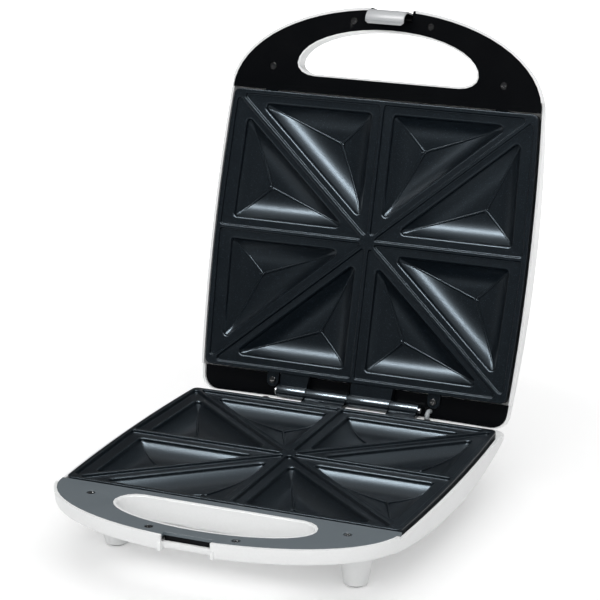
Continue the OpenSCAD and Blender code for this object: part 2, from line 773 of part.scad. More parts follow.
module base_plate() { color(coating) base() cooking_plate([1, 3]); }
module base_heater() { base() heater(); }
module base_reflector() { base() reflector(); }
module base_reflector_screws() { base() reflector_screws(); }
module base_thermostat() { base() thermostat(); }
module base_cover_screws() { base() cover_screws_of_one_half(); }
module base_rear_screws() { base() rear_screws(0); }
module base_lead_sleeve() { base() lead_sleeve(); }

// Thermal fuse in its sleeve, lying on the base's reflector
module thermal_fuse() {
    r = 2.4;
    color("#d9d4c8") base() translate([-30, plate_mid + 30, reflector_z + r + 0.1])
        rotate([0, 90, 0]) {
            cylinder(h = 22, r = r, $fn = fine);
            translate([0, 0, -7]) cylinder(h = 36, r = 0.6, $fn = fine);
        }
}

// Screw terminals for the mains leads, pegged on two posts
module terminal_block() {
    l = terminal_posts[1] - terminal_posts[0] + 8;
    color("#e6e2d6") base() translate([terminal_posts[0] - 4, terminal_y, terminal_z]) {
        difference() {
            translate([0, -4.5, 0]) cube([l, 9, 8]);
            for (i = [0.5:2.5]) translate([l*i/3, 0, 0]) {
                translate([0, 0, 4]) cylinder(h = 5, r = 2, $fn = fine);
                translate([0, -5, 3.4]) rotate([-90, 0, 0]) cylinder(h = 10, r = 1.4, $fn = fine);
            }
        }
        for (x = [4, l - 4]) translate([x, 0, -2.5])
            cylinder(h = 3, r = shank_r - 0.1, $fn = fine);
    }
}

// Gland of the mains lead in the base's back wall
module cord_bush() {
    back = rear_reach - 0.4;
    inside = wall + 2.2;
    bore = bush_r - 1.2;
    color(rubber) base() translate([bush_x, back, bush_z]) rotate([-90, 0, 0]) difference() {
        union() {
            translate([0, 0, -inside]) cylinder(h = inside + 1, r = bush_r, $fn = fine);
            cylinder(h = 2, r = bush_r + 1.4, $fn = fine);
        }
        translate([0, 0, -inside - 1]) cylinder(h = inside + 4, r = bore, $fn = fine);
    }
}

module hinge_pin() {
    over = 1.4;
    x_end = knuckle_start(3) + knuckle_w[3];
    color(steel) base() translate([knuckle_x - over, 0, 0]) rotate([0, 90, 0]) {
        cylinder(h = x_end - knuckle_x + 2*over, r = pin_r, $fn = fine);
        cylinder(h = over - 0.1, r = pin_r + 0.9, $fn = fine);
    }
}

// The lid is drawn like the base and turned over
module lid() { open_lid() mirror([0, 0, 1]) children(); }

module lid_shell() {
    color(white) lid() difference() {
        union() {
            housing(lid_grip_start, -lid_back, rear_seat_z - cover_t);
            translate([-notch_w/2 - wall, handle_front + wall/2, -handle_t + wall/2])
                cube([notch_w + 2*wall, lid_notch + wall/2, handle_t - wall/2 + lug_z]);
        }
        translate([-notch_w/2, handle_front - 10, -30]) cube([notch_w, 10 + lid_notch, 40]);
        translate([0, pin_y, -latch_pin_z]) rotate([0, 90, 0])
            cylinder(h = notch_w + 2*wall + 2, r = latch_pin_r + 0.02, center = true, $fn = fine);
        for (s = [-1, 1]) translate([s*lamp_x, lamp_y, -handle_t - 1])
            cylinder(h = wall + 2, r = lens_r + fit, $fn = fine);
    }
}

module lid_handle_cover() { color(cover_black) lid() handle_cover(lid_grip_start, lid_notch); }

// Strip that closes the lid behind its plate
module lid_rear_cover() {
    color(cover_black) lid() difference() {
        translate([0, 0, rear_seat_z - cover_t]) linear_extrude(cover_t) intersection() {
            polygon(moved_in(draft_in + wall + fit));
            translate([-far, -plate_back + cover_joint]) square([2*far, far]);
        }
        for (s = [-1, 1]) translate([s*rear_screw_x, -rear_screw_y, rear_seat_z - cover_t - 1])
            cylinder(h = cover_t + 2, r = screw_hole_r, $fn = fine);
        translate([sleeve_x, 0, rear_seat_z - cover_t - 1])
            cylinder(h = cover_t + 2, r = sleeve_r + fit, $fn = fine);
    }
}

module lid_plate() { color(coating) lid() cooking_plate([0, 2]); }
module lid_heater() { lid() heater(); }
module lid_reflector() { lid() reflector(); }
module lid_reflector_screws() { lid() reflector_screws(); }
module lid_thermostat() { lid() thermostat(); }
module lid_cover_screws() { lid() cover_screws_of_one_half(); }
module lid_rear_screws() { lid() rear_screws(cover_t); }
module lid_lead_sleeve() { lid() lead_sleeve(); }

// Indicator lens through the lid's top, with a flange inside
module lens(x) {
    lid() translate([x, lamp_y, -handle_t]) {
        translate([0, 0, -0.8]) cylinder(h = wall + 1, r = lens_r, $fn = fine);
        translate([0, 0, wall]) cylinder(h = 1.2, r = lens_r + 0.4, $fn = fine);
    }
}
module power_lens() { color("#c3271d") lens(-lamp_x); }
module ready_lens() { color("#2b8a3e") lens(lamp_x); }

// Bar behind the lenses that carries the two lamps
module lamp_holder() {
    color("#e6e2d6") lid() translate([0, lamp_y, lamp_z]) difference() {
        translate([-lamp_x - 5, -3, 0]) cube([2*lamp_x + 10, 6, 3.4]);
        for (s = [-1, 1]) translate([s*lamp_x, 0, -1]) cylinder(h = 6, r = lamp_r + 0.1, $fn = fine);
    }
}

module indicator_lamps() {
    color("#f3efe6") lid() for (s = [-1, 1]) translate([s*lamp_x, lamp_y, lamp_z + 0.1])
        cylinder(h = 5.4, r = lamp_r, $fn = fine);
}

// Curved clip that turns on its pin and hooks under the base's handle
module latch() {
    y0 = handle_front + latch_air;
    arm = 0.8*barrel_r;
    bend = latch_bend;
    top = -latch_pin_z - arm;
    hook = -hook_z;
    low = -latch_low;
    profile = concat(
        arc([y0 + 4, top + 4], 4, 180, 270, 5),
        [[pin_y, top], [pin_y, top + 2*arm], [y0 + latch_t, top + 2*arm]],
        arc([y0 + bend, low - bend], bend - latch_t, 180, 90, 6),
        [[y0 + latch_lip, hook], [y0 + latch_lip, low]],
        arc([y0 + bend, low - bend], bend, 90, 180, 8));
    front = concat(arc([latch_w/2 - 4, top + 4], 4, -90, 0, 5),
                   arc([latch_w/2 - 3, low - 2], 2, 0, 90, 4));
    color(silver) lid() difference() {
        union() {
            intersection() {
                translate([-latch_w/2, 0, 0]) rotate([90, 0, 90])
                    linear_extrude(latch_w) polygon(profile);
                rotate([90, 0, 0]) linear_extrude(-handle_front + 20)
                    polygon(concat(front, mirrored(front)));
            }
            translate([-latch_w/2 + 1, pin_y, -latch_pin_z]) rotate([0, 90, 0])
                cylinder(h = latch_w - 2, r = barrel_r, $fn = fine);
        }
        translate([-latch_w, pin_y, -latch_pin_z]) rotate([0, 90, 0])
            cylinder(h = 2*latch_w, r = latch_pin_r + pin_play, $fn = fine);
    }
}

module latch_pin() {
    color(steel) lid() translate([0, pin_y, -latch_pin_z]) rotate([0, 90, 0])
        cylinder(h = notch_w + 2*wall, r = latch_pin_r, center = true, $fn = fine);
}

base_shell();
foot_pads();
base_handle_cover();
base_plate();
base_heater();
base_reflector();
base_reflector_screws();
base_thermostat();
thermal_fuse();
terminal_block();
cord_bush();
base_cover_screws();
base_rear_screws();
hinge_pin();
base_lead_sleeve();
keeper_strip();
lid_shell();
lid_handle_cover();
lid_rear_cover();
lid_plate();
lid_heater();
lid_reflector();
lid_reflector_screws();
lid_thermostat();
lid_cover_screws();
lid_rear_screws();
lid_lead_sleeve();
power_lens();
ready_lens();
lamp_holder();
indicator_lamps();
latch();
latch_pin();
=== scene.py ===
import json
import math

import bmesh
import bpy
import numpy as np
from mathutils import Matrix

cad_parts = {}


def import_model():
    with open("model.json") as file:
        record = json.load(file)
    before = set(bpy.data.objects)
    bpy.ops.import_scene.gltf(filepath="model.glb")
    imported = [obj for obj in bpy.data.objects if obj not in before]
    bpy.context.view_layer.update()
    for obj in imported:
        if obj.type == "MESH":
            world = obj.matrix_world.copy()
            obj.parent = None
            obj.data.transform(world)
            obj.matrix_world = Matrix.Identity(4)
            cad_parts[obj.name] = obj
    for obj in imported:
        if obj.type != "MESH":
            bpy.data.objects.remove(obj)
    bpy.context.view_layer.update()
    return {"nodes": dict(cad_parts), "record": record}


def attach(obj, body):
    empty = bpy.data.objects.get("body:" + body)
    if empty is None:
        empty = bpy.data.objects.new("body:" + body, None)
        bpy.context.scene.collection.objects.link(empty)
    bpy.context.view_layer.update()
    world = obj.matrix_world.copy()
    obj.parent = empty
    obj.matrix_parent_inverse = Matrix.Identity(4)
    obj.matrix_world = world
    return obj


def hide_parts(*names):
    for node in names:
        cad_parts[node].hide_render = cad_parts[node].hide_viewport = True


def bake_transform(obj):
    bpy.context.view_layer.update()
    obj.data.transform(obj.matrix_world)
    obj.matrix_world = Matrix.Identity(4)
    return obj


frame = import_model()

MM = 0.001
# Distances in metres below which points are merged and edges dropped: in the surfaces made
# here, and in the copies of CAD nodes.
MADE_MERGE, MADE_SLIVER, COPY_MERGE, COPY_SLIVER = 2e-6, 1e-7, 4e-6, 1e-6

# Sizes in millimetres, those of the part's source where it has the same form. Each half is
# drawn closed, seen from the hinge: +X right, -Y towards the handle, z = 0 on the hinge axis.
HINGE = np.array([0.0, 107.5, 50.3])
LID_OPEN = 104.8
PLATE_W, PLATE_D, PLATE_BOW, PLATE_CORNER = 250.0, 221.0, 3.5, 5.0
PLATE_BACK, PLATE_WALL, SKIRT_H = 13.9, 2.6, 9.0
RIM_Z, RIB_H, RIB_W, BORDER_W, HUB_R = -1.6, 2.4, 3.0, 3.4, 6.5
RIM_ROUND, RIB_CORNER = 0.7, 2.2
BAND_Z = RIM_Z - RIB_H
BAND = {"leg": 8.5, "diag": 7.0, "end": 10.0, "side": 12.5}
POCKET_CORNER, POCKET_WALL, POCKET_SWEEP, POCKET_FALL = 3.2, 7.6, 6.5, 3.4
POCKET_STEP, POCKET_FOOT = 2.6, 0.8
# A fold rib's half width and height, at its start and at the meeting point, and its root.
FOLD_HALF, FOLD_HIGH, FOLD_ROOT, FOLD_BLUNT = (0.55, 1.0), (0.35, 1.25), 0.55, 0.75
# Shares of the way from a pocket's corner to the meeting point between which a fold rib runs:
# clear of the corner's rounding, and a little past the point.
FOLD_START, FOLD_END = 0.1, 1.03
PLATE_MID = -PLATE_BACK - PLATE_D / 2
PLATE_FRONT = -PLATE_BACK - PLATE_D
KNUCKLE_R, PIN_R, KNUCKLE_GAP, KNUCKLE_X = 4.75, 2.0, 0.5, -59.8
KNUCKLE_W = [24.5, 34.6, 35.5, 23.3]
REAR_SEAT_Z, LUG_R, LUG_Z, SCREW_HOLE_R = -8.0, 5.0, -4.7, 1.8
KNUCKLE_ARM_Y, KNUCKLE_ARM_Z, KNUCKLE_ARM_MEET = -4.3, -1.9, -4.1
KNUCKLE_ROOT_TOP, KNUCKLE_ROOT_LOW = RIM_Z - 1.0, REAR_SEAT_Z + 0.6
FRONT_LUG_X, FRONT_LUG_Y, REAR_LUG_X, REAR_LUG_Y = 95, 19.7, 67, 7.5
REFLECTOR_Z, THERMOSTAT_Z, TUBE_Z, TUBE_SEAT_R = -25.2, -13.0, -21.15, 3.35
POST_X, POST_R, THERMOSTAT_R, POST_TOP = 60.0, 3.2, 7.2, BAND_Z - 1.3
RING_R, RING_START, RING_END = 84.0, 106, 434
CHANNEL_W, CHANNEL_TOP = 11.5, -16.2
SLEEVE_X, SLEEVE_R, SLEEVE_REACH, SLEEVE_LENGTHS = 64.5, 1.8, 6.0, (9.0, 14.0, 20.0)
GRIP_HALF_W, GRIP_CORNER, GRIP_REACH, BASE_GRIP_START = 73.0, 24.0, 53.2, 10
GRIP_SIDE_W, HANDLE_T, COVER_Z = 15, 14.6, -2.3
# The lining of the finger opening: its depths at the handle's bar and at the plates, how its
# depth grows between, and its two lips as steps outwards and up from the cover or its foot.
LINING_BAR, LINING_DEEP, LINING_CURVE = 14.0, 20.0, 0.8
LINING_TOP = ((-0.03, -0.5), (-0.35, -0.4), (-0.75, -0.6), (-0.85, -1.2))
LINING_FOOT = ((-0.85, 0.5), (-0.6, 0), (-0.25, 0), (-0.03, 0.3))


# Placing and building meshes

def on_base(p):
    """Points of the half as drawn, moved from the hinge axis to the base's place, in metres."""
    return (np.asarray(p, float) + HINGE) * MM


def on_lid(p):
    """Points of the half as drawn, turned over (z changes sign), swung back about the hinge
    by the lid's opening angle, and moved to the hinge, in metres."""
    q = np.asarray(p, float) * [1, 1, -1]
    turn = math.radians(-LID_OPEN)
    y = q[..., 1] * math.cos(turn) - q[..., 2] * math.sin(turn)
    z = q[..., 1] * math.sin(turn) + q[..., 2] * math.cos(turn)
    return (np.stack([q[..., 0], y, z], -1) + HINGE) * MM


def quads(m, n, around=True, along=False):
    """Faces of an m by n grid of points: each cell joins a point, its next neighbour in the
    row, and the same two of the next row. Rows close on themselves where around is set."""
    i, j = np.meshgrid(np.arange(m if along else m - 1), np.arange(n if around else n - 1),
                       indexing="ij")
    i, j, i2, j2 = i.ravel(), j.ravel(), ((i + 1) % m).ravel(), ((j + 1) % n).ravel()
    return np.stack([i * n + j, i * n + j2, i2 * n + j2, i2 * n + j], 1)


def sheet(points, around=True, along=False, flip=False):
    """A grid of points (rows, columns, 3) as a part: its flat point list and its quads."""
    m, n = points.shape[:2]
    f = quads(m, n, around, along)
    return points.reshape(-1, 3), f[:, ::-1] if flip else f


def tube_ends(points):
    """A stack of closed rings with both ends drawn together to the middle of the end ring."""
    first = np.repeat(points[:1].mean(1, keepdims=True), points.shape[1], 1)
    last = np.repeat(points[-1:].mean(1, keepdims=True), points.shape[1], 1)
    return sheet(np.concatenate([first, points, last]))


def made(name, parts, place, body, sharp=40):
    """One mesh object from several parts, placed by a function, its doubles merged, its faces
    turned outwards and its edges kept sharp above an angle."""
    start, points, faces = 0, [], []
    for p, f in parts:
        points.append(p)
        faces.append(f + start)
        start += len(p)
    mesh = bpy.data.meshes.new(name)
    mesh.from_pydata(place(np.concatenate(points)).tolist(), [], np.concatenate(faces).tolist())
    tidy_mesh(mesh)
    return shown(name, mesh, body, sharp)


def tidy_mesh(mesh):
    """Doubles merged, faces of no area removed, faces turned outwards."""
    bm = bmesh.new()
    bm.from_mesh(mesh)
    bmesh.ops.remove_doubles(bm, verts=bm.verts, dist=MADE_MERGE)
    bmesh.ops.dissolve_degenerate(bm, edges=bm.edges, dist=MADE_SLIVER)
    bmesh.ops.recalc_face_normals(bm, faces=bm.faces)
    bm.to_mesh(mesh)
    bm.free()


def shown(name, mesh, body, sharp):
    """A mesh as an object in the scene, smooth but for edges above the sharp angle, riding on
    its body."""
    mesh.shade_smooth()
    mesh.set_sharp_from_angle(angle=math.radians(sharp))
    obj = bpy.data.objects.new(name, mesh)
    bpy.context.scene.collection.objects.link(obj)
    if body:
        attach(obj, body)
    return obj


def face_values(mesh, kind):
    """The middle points ("center") or directions ("normal") of a mesh's faces, one a row."""
    values = np.zeros(3 * len(mesh.polygons))
    mesh.polygons.foreach_get(kind, values)
    return values.reshape(-1, 3)


def second_finish(mesh, mask):
    """Gives the faces where the mask is true the mesh's second material."""
    mesh.polygons.foreach_set("material_index", mask.astype(np.int32))


# Cooking plates

def bowed(y, grow=0.0):
    """Half width of a plate at y from its middle: a shallow arc, widest at the middle."""
    return PLATE_W / 2 + grow + PLATE_BOW * (1 - (2 * y / PLATE_D) ** 2)


# Steps along half an outline side and half of its corner, and points round a ring's corner.
# Every ring of a cell has these, so that one joins the next point by point.
LINE_STEPS, ARC_STEPS, TURN_STEPS = 22, 6, 7
SIDE_STEPS = LINE_STEPS + ARC_STEPS
RING_STRIDE = SIDE_STEPS + TURN_STEPS - 1


def quarter_outline():
    """A quarter of a plate's outline from the middle of the right side to the middle of the
    far end: the bowed side, half the corner's arc, the other half, and the straight end."""
    r, e = PLATE_CORNER, PLATE_D / 2
    cx, cy = bowed(e - r) - r, e - r
    y = np.linspace(0, cy, LINE_STEPS + 1)
    a = np.radians(np.linspace(0, 90, 2 * ARC_STEPS + 1))[1:]
    x = np.linspace(cx, 0, LINE_STEPS + 1)[1:]
    return np.concatenate([
        np.stack([bowed(y), y], 1),
        np.stack([cx + r * np.cos(a), cy + r * np.sin(a)], 1),
        np.stack([x, np.full(len(x), e)], 1)])


def whole_outline():
    """The quarter outline mirrored about both middle lines, anticlockwise, closed."""
    q = quarter_outline()
    top = np.concatenate([q, (q * [-1, 1])[::-1][1:]])
    return np.concatenate([top, (top * [1, -1])[::-1][1:-1]])


OUTLINE = whole_outline()
ALONG = np.roll(OUTLINE, -1, 0) - np.roll(OUTLINE, 1, 0)
ALONG /= np.linalg.norm(ALONG, axis=1)[:, None]
INWARD = np.stack([-ALONG[:, 1], ALONG[:, 0]], 1)


def edge_piece(k, offset):
    """Outline points of the k-th eighth of a plate, moved inwards by offset."""
    i = np.arange(k * SIDE_STEPS, (k + 1) * SIDE_STEPS + 1) % len(OUTLINE)
    return OUTLINE[i] + INWARD[i] * offset


def cells():
    """The eight triangular cells, anticlockwise from the middle of the right side. Each is
    its corner points hub, start and end of its outer edge, the kinds of its three sides and
    the number of its eighth of the outline."""
    out = []
    for k in range(8):
        piece = edge_piece(k, 0)
        side = k in (0, 3, 4, 7)
        first, last = ("leg", "diag") if k % 2 == 0 else ("diag", "leg")
        corner = np.array([PLATE_W / 2, PLATE_D / 2])
        ends = [piece[0].copy(), piece[-1].copy()]
        j = 1 if k % 2 == 0 else 0
        ends[j] = np.sign(np.where(abs(ends[j]) < 1, 1, ends[j])) * corner
        out.append((np.array([[0, 0], ends[0], ends[1]]),
                    [first, "side" if side else "end", last], k))
    return out


def setbacks(kinds, ribs):
    """Distance of each side's inner line from the cell's side: half a rib, or the band."""
    if ribs:
        return [RIB_W / 2 if s in ("leg", "diag") else BORDER_W for s in kinds]
    return [BAND[s] for s in kinds]


def rounded_ring(t, d, w, radii):
    """Points round triangle t after each side moves in by its setback d plus w, each corner
    rounded by its own radius: per corner a short arc, then the straight to the next one."""
    corners = []
    for i in range(3):
        u = t[i] - t[i - 1]
        v = t[(i + 1) % 3] - t[i]
        u, v = u / np.linalg.norm(u), v / np.linalg.norm(v)
        p = t[i] + np.array([-u[1], u[0]]) * (d[i - 1] + w)
        q = t[i] + np.array([-v[1], v[0]]) * (d[i] + w)
        s = q - p
        cross = u[0] * v[1] - u[1] * v[0]
        c = p + u * (s[0] * v[1] - s[1] * v[0]) / cross
        turn = math.acos(np.clip(u @ v, -1, 1))
        r = max(radii[i], 0.02)
        m = (v - u) / np.linalg.norm(v - u)
        c = c + m * r / math.cos(turn / 2)
        a = math.atan2(-u[0], u[1]) + np.linspace(0, turn, TURN_STEPS)
        corners.append(c + r * np.stack([np.cos(a), np.sin(a)], 1))
    rows = []
    for i in range(3):
        a, b = corners[i][-1], corners[(i + 1) % 3][0]
        f = np.linspace(0, 1, SIDE_STEPS + 1)[1:-1, None]
        rows += [corners[i], a + (b - a) * f]
    return np.concatenate(rows)


def boundary_ring(t, k, offset):
    """The cell's own border in step with rounded_ring: its two inner sides straight from the
    hub, its outer side along the plate's outline moved in by offset."""
    edge = edge_piece(k, offset)
    f = np.linspace(0, 1, SIDE_STEPS + 1)[:, None]
    legs = [edge[0] * f, edge, edge[-1] * (1 - f)]
    rows = []
    for leg in legs:
        rows += [np.repeat(leg[:1], TURN_STEPS, 0), leg[1:-1]]
    return np.concatenate(rows)


def at(ring, z):
    """A ring of points (x, y) lifted to the height z."""
    return np.concatenate([ring, np.full((len(ring), 1), z)], 1)


def tip_of(t, d):
    """The point where a pocket's three folds meet, the middle of its inscribed circle, and the
    pocket's three corners."""
    p = rounded_ring(t, d, 0, [0.02] * 3)[3::RING_STRIDE]
    side = [np.linalg.norm(p[(i + 1) % 3] - p[(i + 2) % 3]) for i in range(3)]
    return sum(p[i] * side[i] for i in range(3)) / sum(side), p


def reach_of(t, d):
    """Distance from a pocket's edge lines to the point where its folds meet."""
    tip, p = tip_of(t, d)
    run = p[1] - p[0]
    return (run[0] * (tip - p[0])[1] - run[1] * (tip - p[0])[0]) / np.linalg.norm(run)


# Profiles of a rib's side and of a pocket's lip: how far inwards, how far down, in mm.
RIB_STEPS = [(-0.95, 0.0), (-0.62, 0.05), (-0.36, 0.22), (-0.2, 0.52), (-0.08, 1.2),
             (0.02, 1.75), (0.2, 2.15), (0.5, 2.36), (0.85, 2.4)]
LIP_STEPS = [(-1.5, 0.0), (-1.04, 0.05), (-0.61, 0.19), (-0.21, 0.42), (0.13, 0.73), (0.41, 1.1),
             (0.56, 1.6), (0.68, 2.1)]
# Shares of the way from a pocket's foot to its deepest point at which its face has a ring.
FACE_SHARES = (0, 0.03, 0.07, 0.12, 0.17, 0.23, 0.3, 0.38, 0.47, 0.57, 0.68, 0.8, 0.9, 0.97)
FACE_CURVE = 3.4
# How fast the rounding of a pocket's corners fades down its faces, and what is left of it.
CORNER_FADE, CORNER_LEFT = 6, 0.05


def fall(share):
    """Depth of a pocket's floor below its wall's foot, for a share of the way from the foot to
    where the folds meet: steep by the wall and ever flatter, as one minus a power."""
    deep = POCKET_WALL + POCKET_FALL - POCKET_STEP
    return deep * (1 - np.maximum(0, 1 - share) ** FACE_CURVE)


def cell_top(t, kinds, k):
    """Upper surface of a cell: from the rib's middle line over its rounded edge down to the
    sealing band, over the pocket's rounded lip, down a short steep wall, then along hollow
    faces that flatten towards the point where the folds meet."""
    ribs, band = setbacks(kinds, True), setbacks(kinds, False)
    cosine = (t[1] @ t[2]) / np.linalg.norm(t[1]) / np.linalg.norm(t[2])
    half = math.acos(np.clip(cosine, -1, 1)) / 2
    hub_round = (HUB_R - RIB_W / 2 / math.sin(half)) / (1 / math.sin(half) - 1)
    tip, _ = tip_of(t, band)
    rows = [at(boundary_ring(t, k, RIM_ROUND), RIM_Z)]
    for w, down in RIB_STEPS:
        radii = [hub_round - w, RIB_CORNER - w, RIB_CORNER - w]
        rows.append(at(rounded_ring(t, ribs, w, radii), RIM_Z - down))
    for w, down in LIP_STEPS:
        rows.append(at(rounded_ring(t, band, w, [POCKET_CORNER - w] * 3), BAND_Z - down))
    deep = reach_of(t, band) - POCKET_FOOT
    for s in FACE_SHARES:
        round_off = (POCKET_CORNER - POCKET_FOOT) * (1 - s) ** CORNER_FADE + CORNER_LEFT
        rows.append(at(rounded_ring(t, band, POCKET_FOOT + deep * s, [round_off] * 3),
                       BAND_Z - POCKET_STEP - fall(s)))
    rows.append(at(np.repeat(tip[None], len(rows[-1]), 0), BAND_Z - POCKET_STEP - fall(1)))
    return sheet(np.stack(rows))


def cell_under(t, kinds, k):
    """Under surface of a cell, a wall's thickness below: flat under the band, then down round
    the pocket's metal to a point."""
    band = setbacks(kinds, False)
    tip, _ = tip_of(t, band)
    rows = [at(boundary_ring(t, k, PLATE_WALL), BAND_Z - PLATE_WALL)]
    for a in np.radians([0, 25, 50, 75, 90]):
        w = POCKET_SWEEP * (1 - math.cos(a)) - PLATE_WALL
        rows.append(at(rounded_ring(t, band, w, [max(POCKET_CORNER - w, 0.5)] * 3),
                       BAND_Z - PLATE_WALL - POCKET_WALL * math.sin(a)))
    end = np.array([tip[0], tip[1], BAND_Z - PLATE_WALL - POCKET_WALL - POCKET_FALL])
    rows.append(np.repeat(end[None], len(rows[-1]), 0))
    return sheet(np.stack(rows), flip=True)


def skirt():
    """The plate's edge: a rounded corner at the rim, the outer wall down, its lower edge and
    the inner wall up to the under surface. A profile carried round the whole outline."""
    steps = [(RIM_ROUND, 0.0), (0.42, 0.04), (0.2, 0.16), (0.05, 0.4), (0.0, 0.8),
             (0.0, SKIRT_H - 0.4), (0.4, SKIRT_H), (PLATE_WALL, SKIRT_H),
             (PLATE_WALL, RIB_H + PLATE_WALL)]
    rows = [at(OUTLINE + INWARD * o, RIM_Z - down) for o, down in steps]
    return sheet(np.stack(rows), flip=True)


def fold(t, kinds, i):
    """A thin raised rib along a fold, from a pocket's corner to the meeting point. Its section
    is a cosine across and a blunted sine up, closed below, and grows along the fold."""
    band = setbacks(kinds, False)
    tip, _ = tip_of(t, band)
    foot = rounded_ring(t, band, POCKET_FOOT, [0.02] * 3)[3 + i * RING_STRIDE]
    s = np.linspace(FOLD_START, FOLD_END, 26)[:, None]
    run = (tip - foot) / np.linalg.norm(tip - foot)
    across = np.array([-run[1], run[0]])
    valley = BAND_Z - POCKET_STEP - fall(s)
    a = np.linspace(0, 2 * math.pi, 14, endpoint=False)[None]
    half = FOLD_HALF[0] + (FOLD_HALF[1] - FOLD_HALF[0]) * s
    high = FOLD_HIGH[0] + (FOLD_HIGH[1] - FOLD_HIGH[0]) * s
    side = half * np.cos(a)
    up = np.where(np.sin(a) > 0, high * np.abs(np.sin(a)) ** FOLD_BLUNT,
                  FOLD_ROOT * np.sin(a))
    pts = np.zeros((len(s), a.shape[1], 3))
    line = foot + (tip - foot) * s
    pts[..., 0] = line[:, :1] + side * across[0]
    pts[..., 1] = line[:, 1:] + side * across[1]
    pts[..., 2] = valley + up
    return tube_ends(pts)


def bushed(outer, inner, a, b, soft, axis):
    """A block with a round hole through it: from the hole's edge over a bevelled rim along
    the outer face, over the other rim and back through the hole. axis says which way the
    outline's plane faces: "x" for outlines in y and z, "z" for outlines in x and y."""
    c = outer.mean(0)
    shrunk = c + (outer - c) * (1 - soft / np.linalg.norm(outer - c, axis=1))[:, None]
    rows = []
    for ring, h in ((inner, a), (shrunk, a), (outer, a + soft), (outer, b - soft), (shrunk, b),
                    (inner, b)):
        flat = np.full((len(ring), 1), h)
        rows.append(np.concatenate([flat, ring], 1) if axis == "x" else
                    np.concatenate([ring, flat], 1))
    return sheet(np.stack(rows), along=True)


def circle(r, n, start=0.0, c=(0, 0)):
    """n points round a circle of radius r about c, from the start angle."""
    a = start + np.linspace(0, 2 * math.pi, n, endpoint=False)
    return np.stack([c[0] + r * np.cos(a), c[1] + r * np.sin(a)], 1)


def along_polygon(corners, n):
    """n points at equal steps round a closed line through the corners."""
    p = np.asarray(corners, float)
    q = np.concatenate([p, p[:1]])
    length = np.concatenate([[0], np.cumsum(np.linalg.norm(np.diff(q, axis=0), axis=1))])
    s = np.linspace(0, length[-1], n, endpoint=False)
    return np.stack([np.interp(s, length, q[:, i]) for i in (0, 1)], 1)


def knuckle(i):
    """A hinge knuckle: most of a circle about the pin, run into the arm that carries it from
    the plate's skirt, drawn out along the pin with softened ends."""
    n = 72
    root = -PLATE_BACK - PLATE_WALL / 2
    a = np.radians(np.linspace(-90, 205, 54))
    round_part = np.stack([KNUCKLE_R * np.cos(a), KNUCKLE_R * np.sin(a)], 1)
    # the circle stops where the arm's upper face meets it
    keep = round_part[(round_part[:, 0] > KNUCKLE_ARM_MEET) | (round_part[:, 1] > 0)]
    corners = np.concatenate([keep, [[KNUCKLE_ARM_Y, KNUCKLE_ARM_Z], [root, KNUCKLE_ROOT_TOP],
                                     [root, KNUCKLE_ROOT_LOW], [0, -KNUCKLE_R]]])
    outer = along_polygon(corners, n)
    start = math.atan2(outer[0, 1], outer[0, 0])
    inner = circle(PIN_R + 0.05, n, start)
    x0 = KNUCKLE_X + sum(KNUCKLE_W[:i]) + KNUCKLE_GAP / 2
    x1 = x0 + KNUCKLE_W[i] - KNUCKLE_GAP
    return bushed(outer, inner, x0, x1, soft=0.35, axis="x")


def lug(x, y, z, reach, way):
    """An ear for a screw: half a disc, then straight sides into the skirt."""
    n = 48
    a = np.radians(np.linspace(180, 360, 25) if way > 0 else np.linspace(0, 180, 25))
    tip = np.stack([x + LUG_R * np.cos(a), y + LUG_R * np.sin(a)], 1)
    back = y + way * (reach + PLATE_WALL / 2)
    ends = [[tip[-1, 0], back], [tip[0, 0], back]]
    outer = along_polygon(np.concatenate([tip, ends]), n)
    start = math.atan2(outer[0, 1] - y, outer[0, 0] - x)
    hole = circle(SCREW_HOLE_R, n, start, (x, y))
    return bushed(outer, hole, z, z + PLATE_WALL, soft=0.3, axis="z")


def grip_outline(start, grow):
    """Outline of a finger opening from the plates' front edge: half an ellipse in front, a
    nearly straight side with two rounded corners by the plates; grow moves it outwards."""
    w = GRIP_HALF_W + grow
    a = np.radians(np.linspace(0, 180, 61))
    b = np.radians(np.linspace(0, 90, 13)[1:])
    deep = GRIP_REACH - GRIP_CORNER + grow
    front = np.stack([w * np.cos(a), -GRIP_CORNER - deep * np.sin(a)], 1)
    left = np.stack([-w + GRIP_SIDE_W * (1 - np.cos(b)),
                     -GRIP_CORNER + (GRIP_CORNER - start + grow) * np.sin(b)], 1)
    run = np.linspace(0, 1, 30)[1:-1, None]
    right = (left * [-1, 1])[::-1]
    return np.concatenate([front, left, left[-1] + (right[0] - left[-1]) * run, right])


def opening_lining():
    """Thin wall inside the base's finger opening: a flat band with rounded lips carried round
    the opening's outline, ever deeper from the handle's bar to the plates."""
    start, rows = BASE_GRIP_START, []
    outer = grip_outline(start, LINING_TOP[0][0])
    share = np.clip((outer[:, 1] + GRIP_REACH) / (GRIP_REACH - start), 0, 1)
    low = -LINING_BAR - (LINING_DEEP - HANDLE_T) * share ** LINING_CURVE
    for grow, z in ([(grow, COVER_Z + up) for grow, up in LINING_TOP]
                    + [(grow, low + up) for grow, up in LINING_FOOT]):
        ring = grip_outline(start, grow)
        rows.append(np.concatenate([ring + [0, PLATE_FRONT],
                                    np.broadcast_to(z, len(ring))[:, None]], 1))
    obj = made("finger_opening_lining", [sheet(np.stack(rows), along=True)], on_base, "base", 60)
    return obj


def turned(profile, centre=(0, 0), n=32):
    """A profile of (radius, height) turned about a vertical line, closed at both ends."""
    rows = [at(circle(r, n, 0, centre), z) for r, z in profile]
    return tube_ends(np.stack(rows))


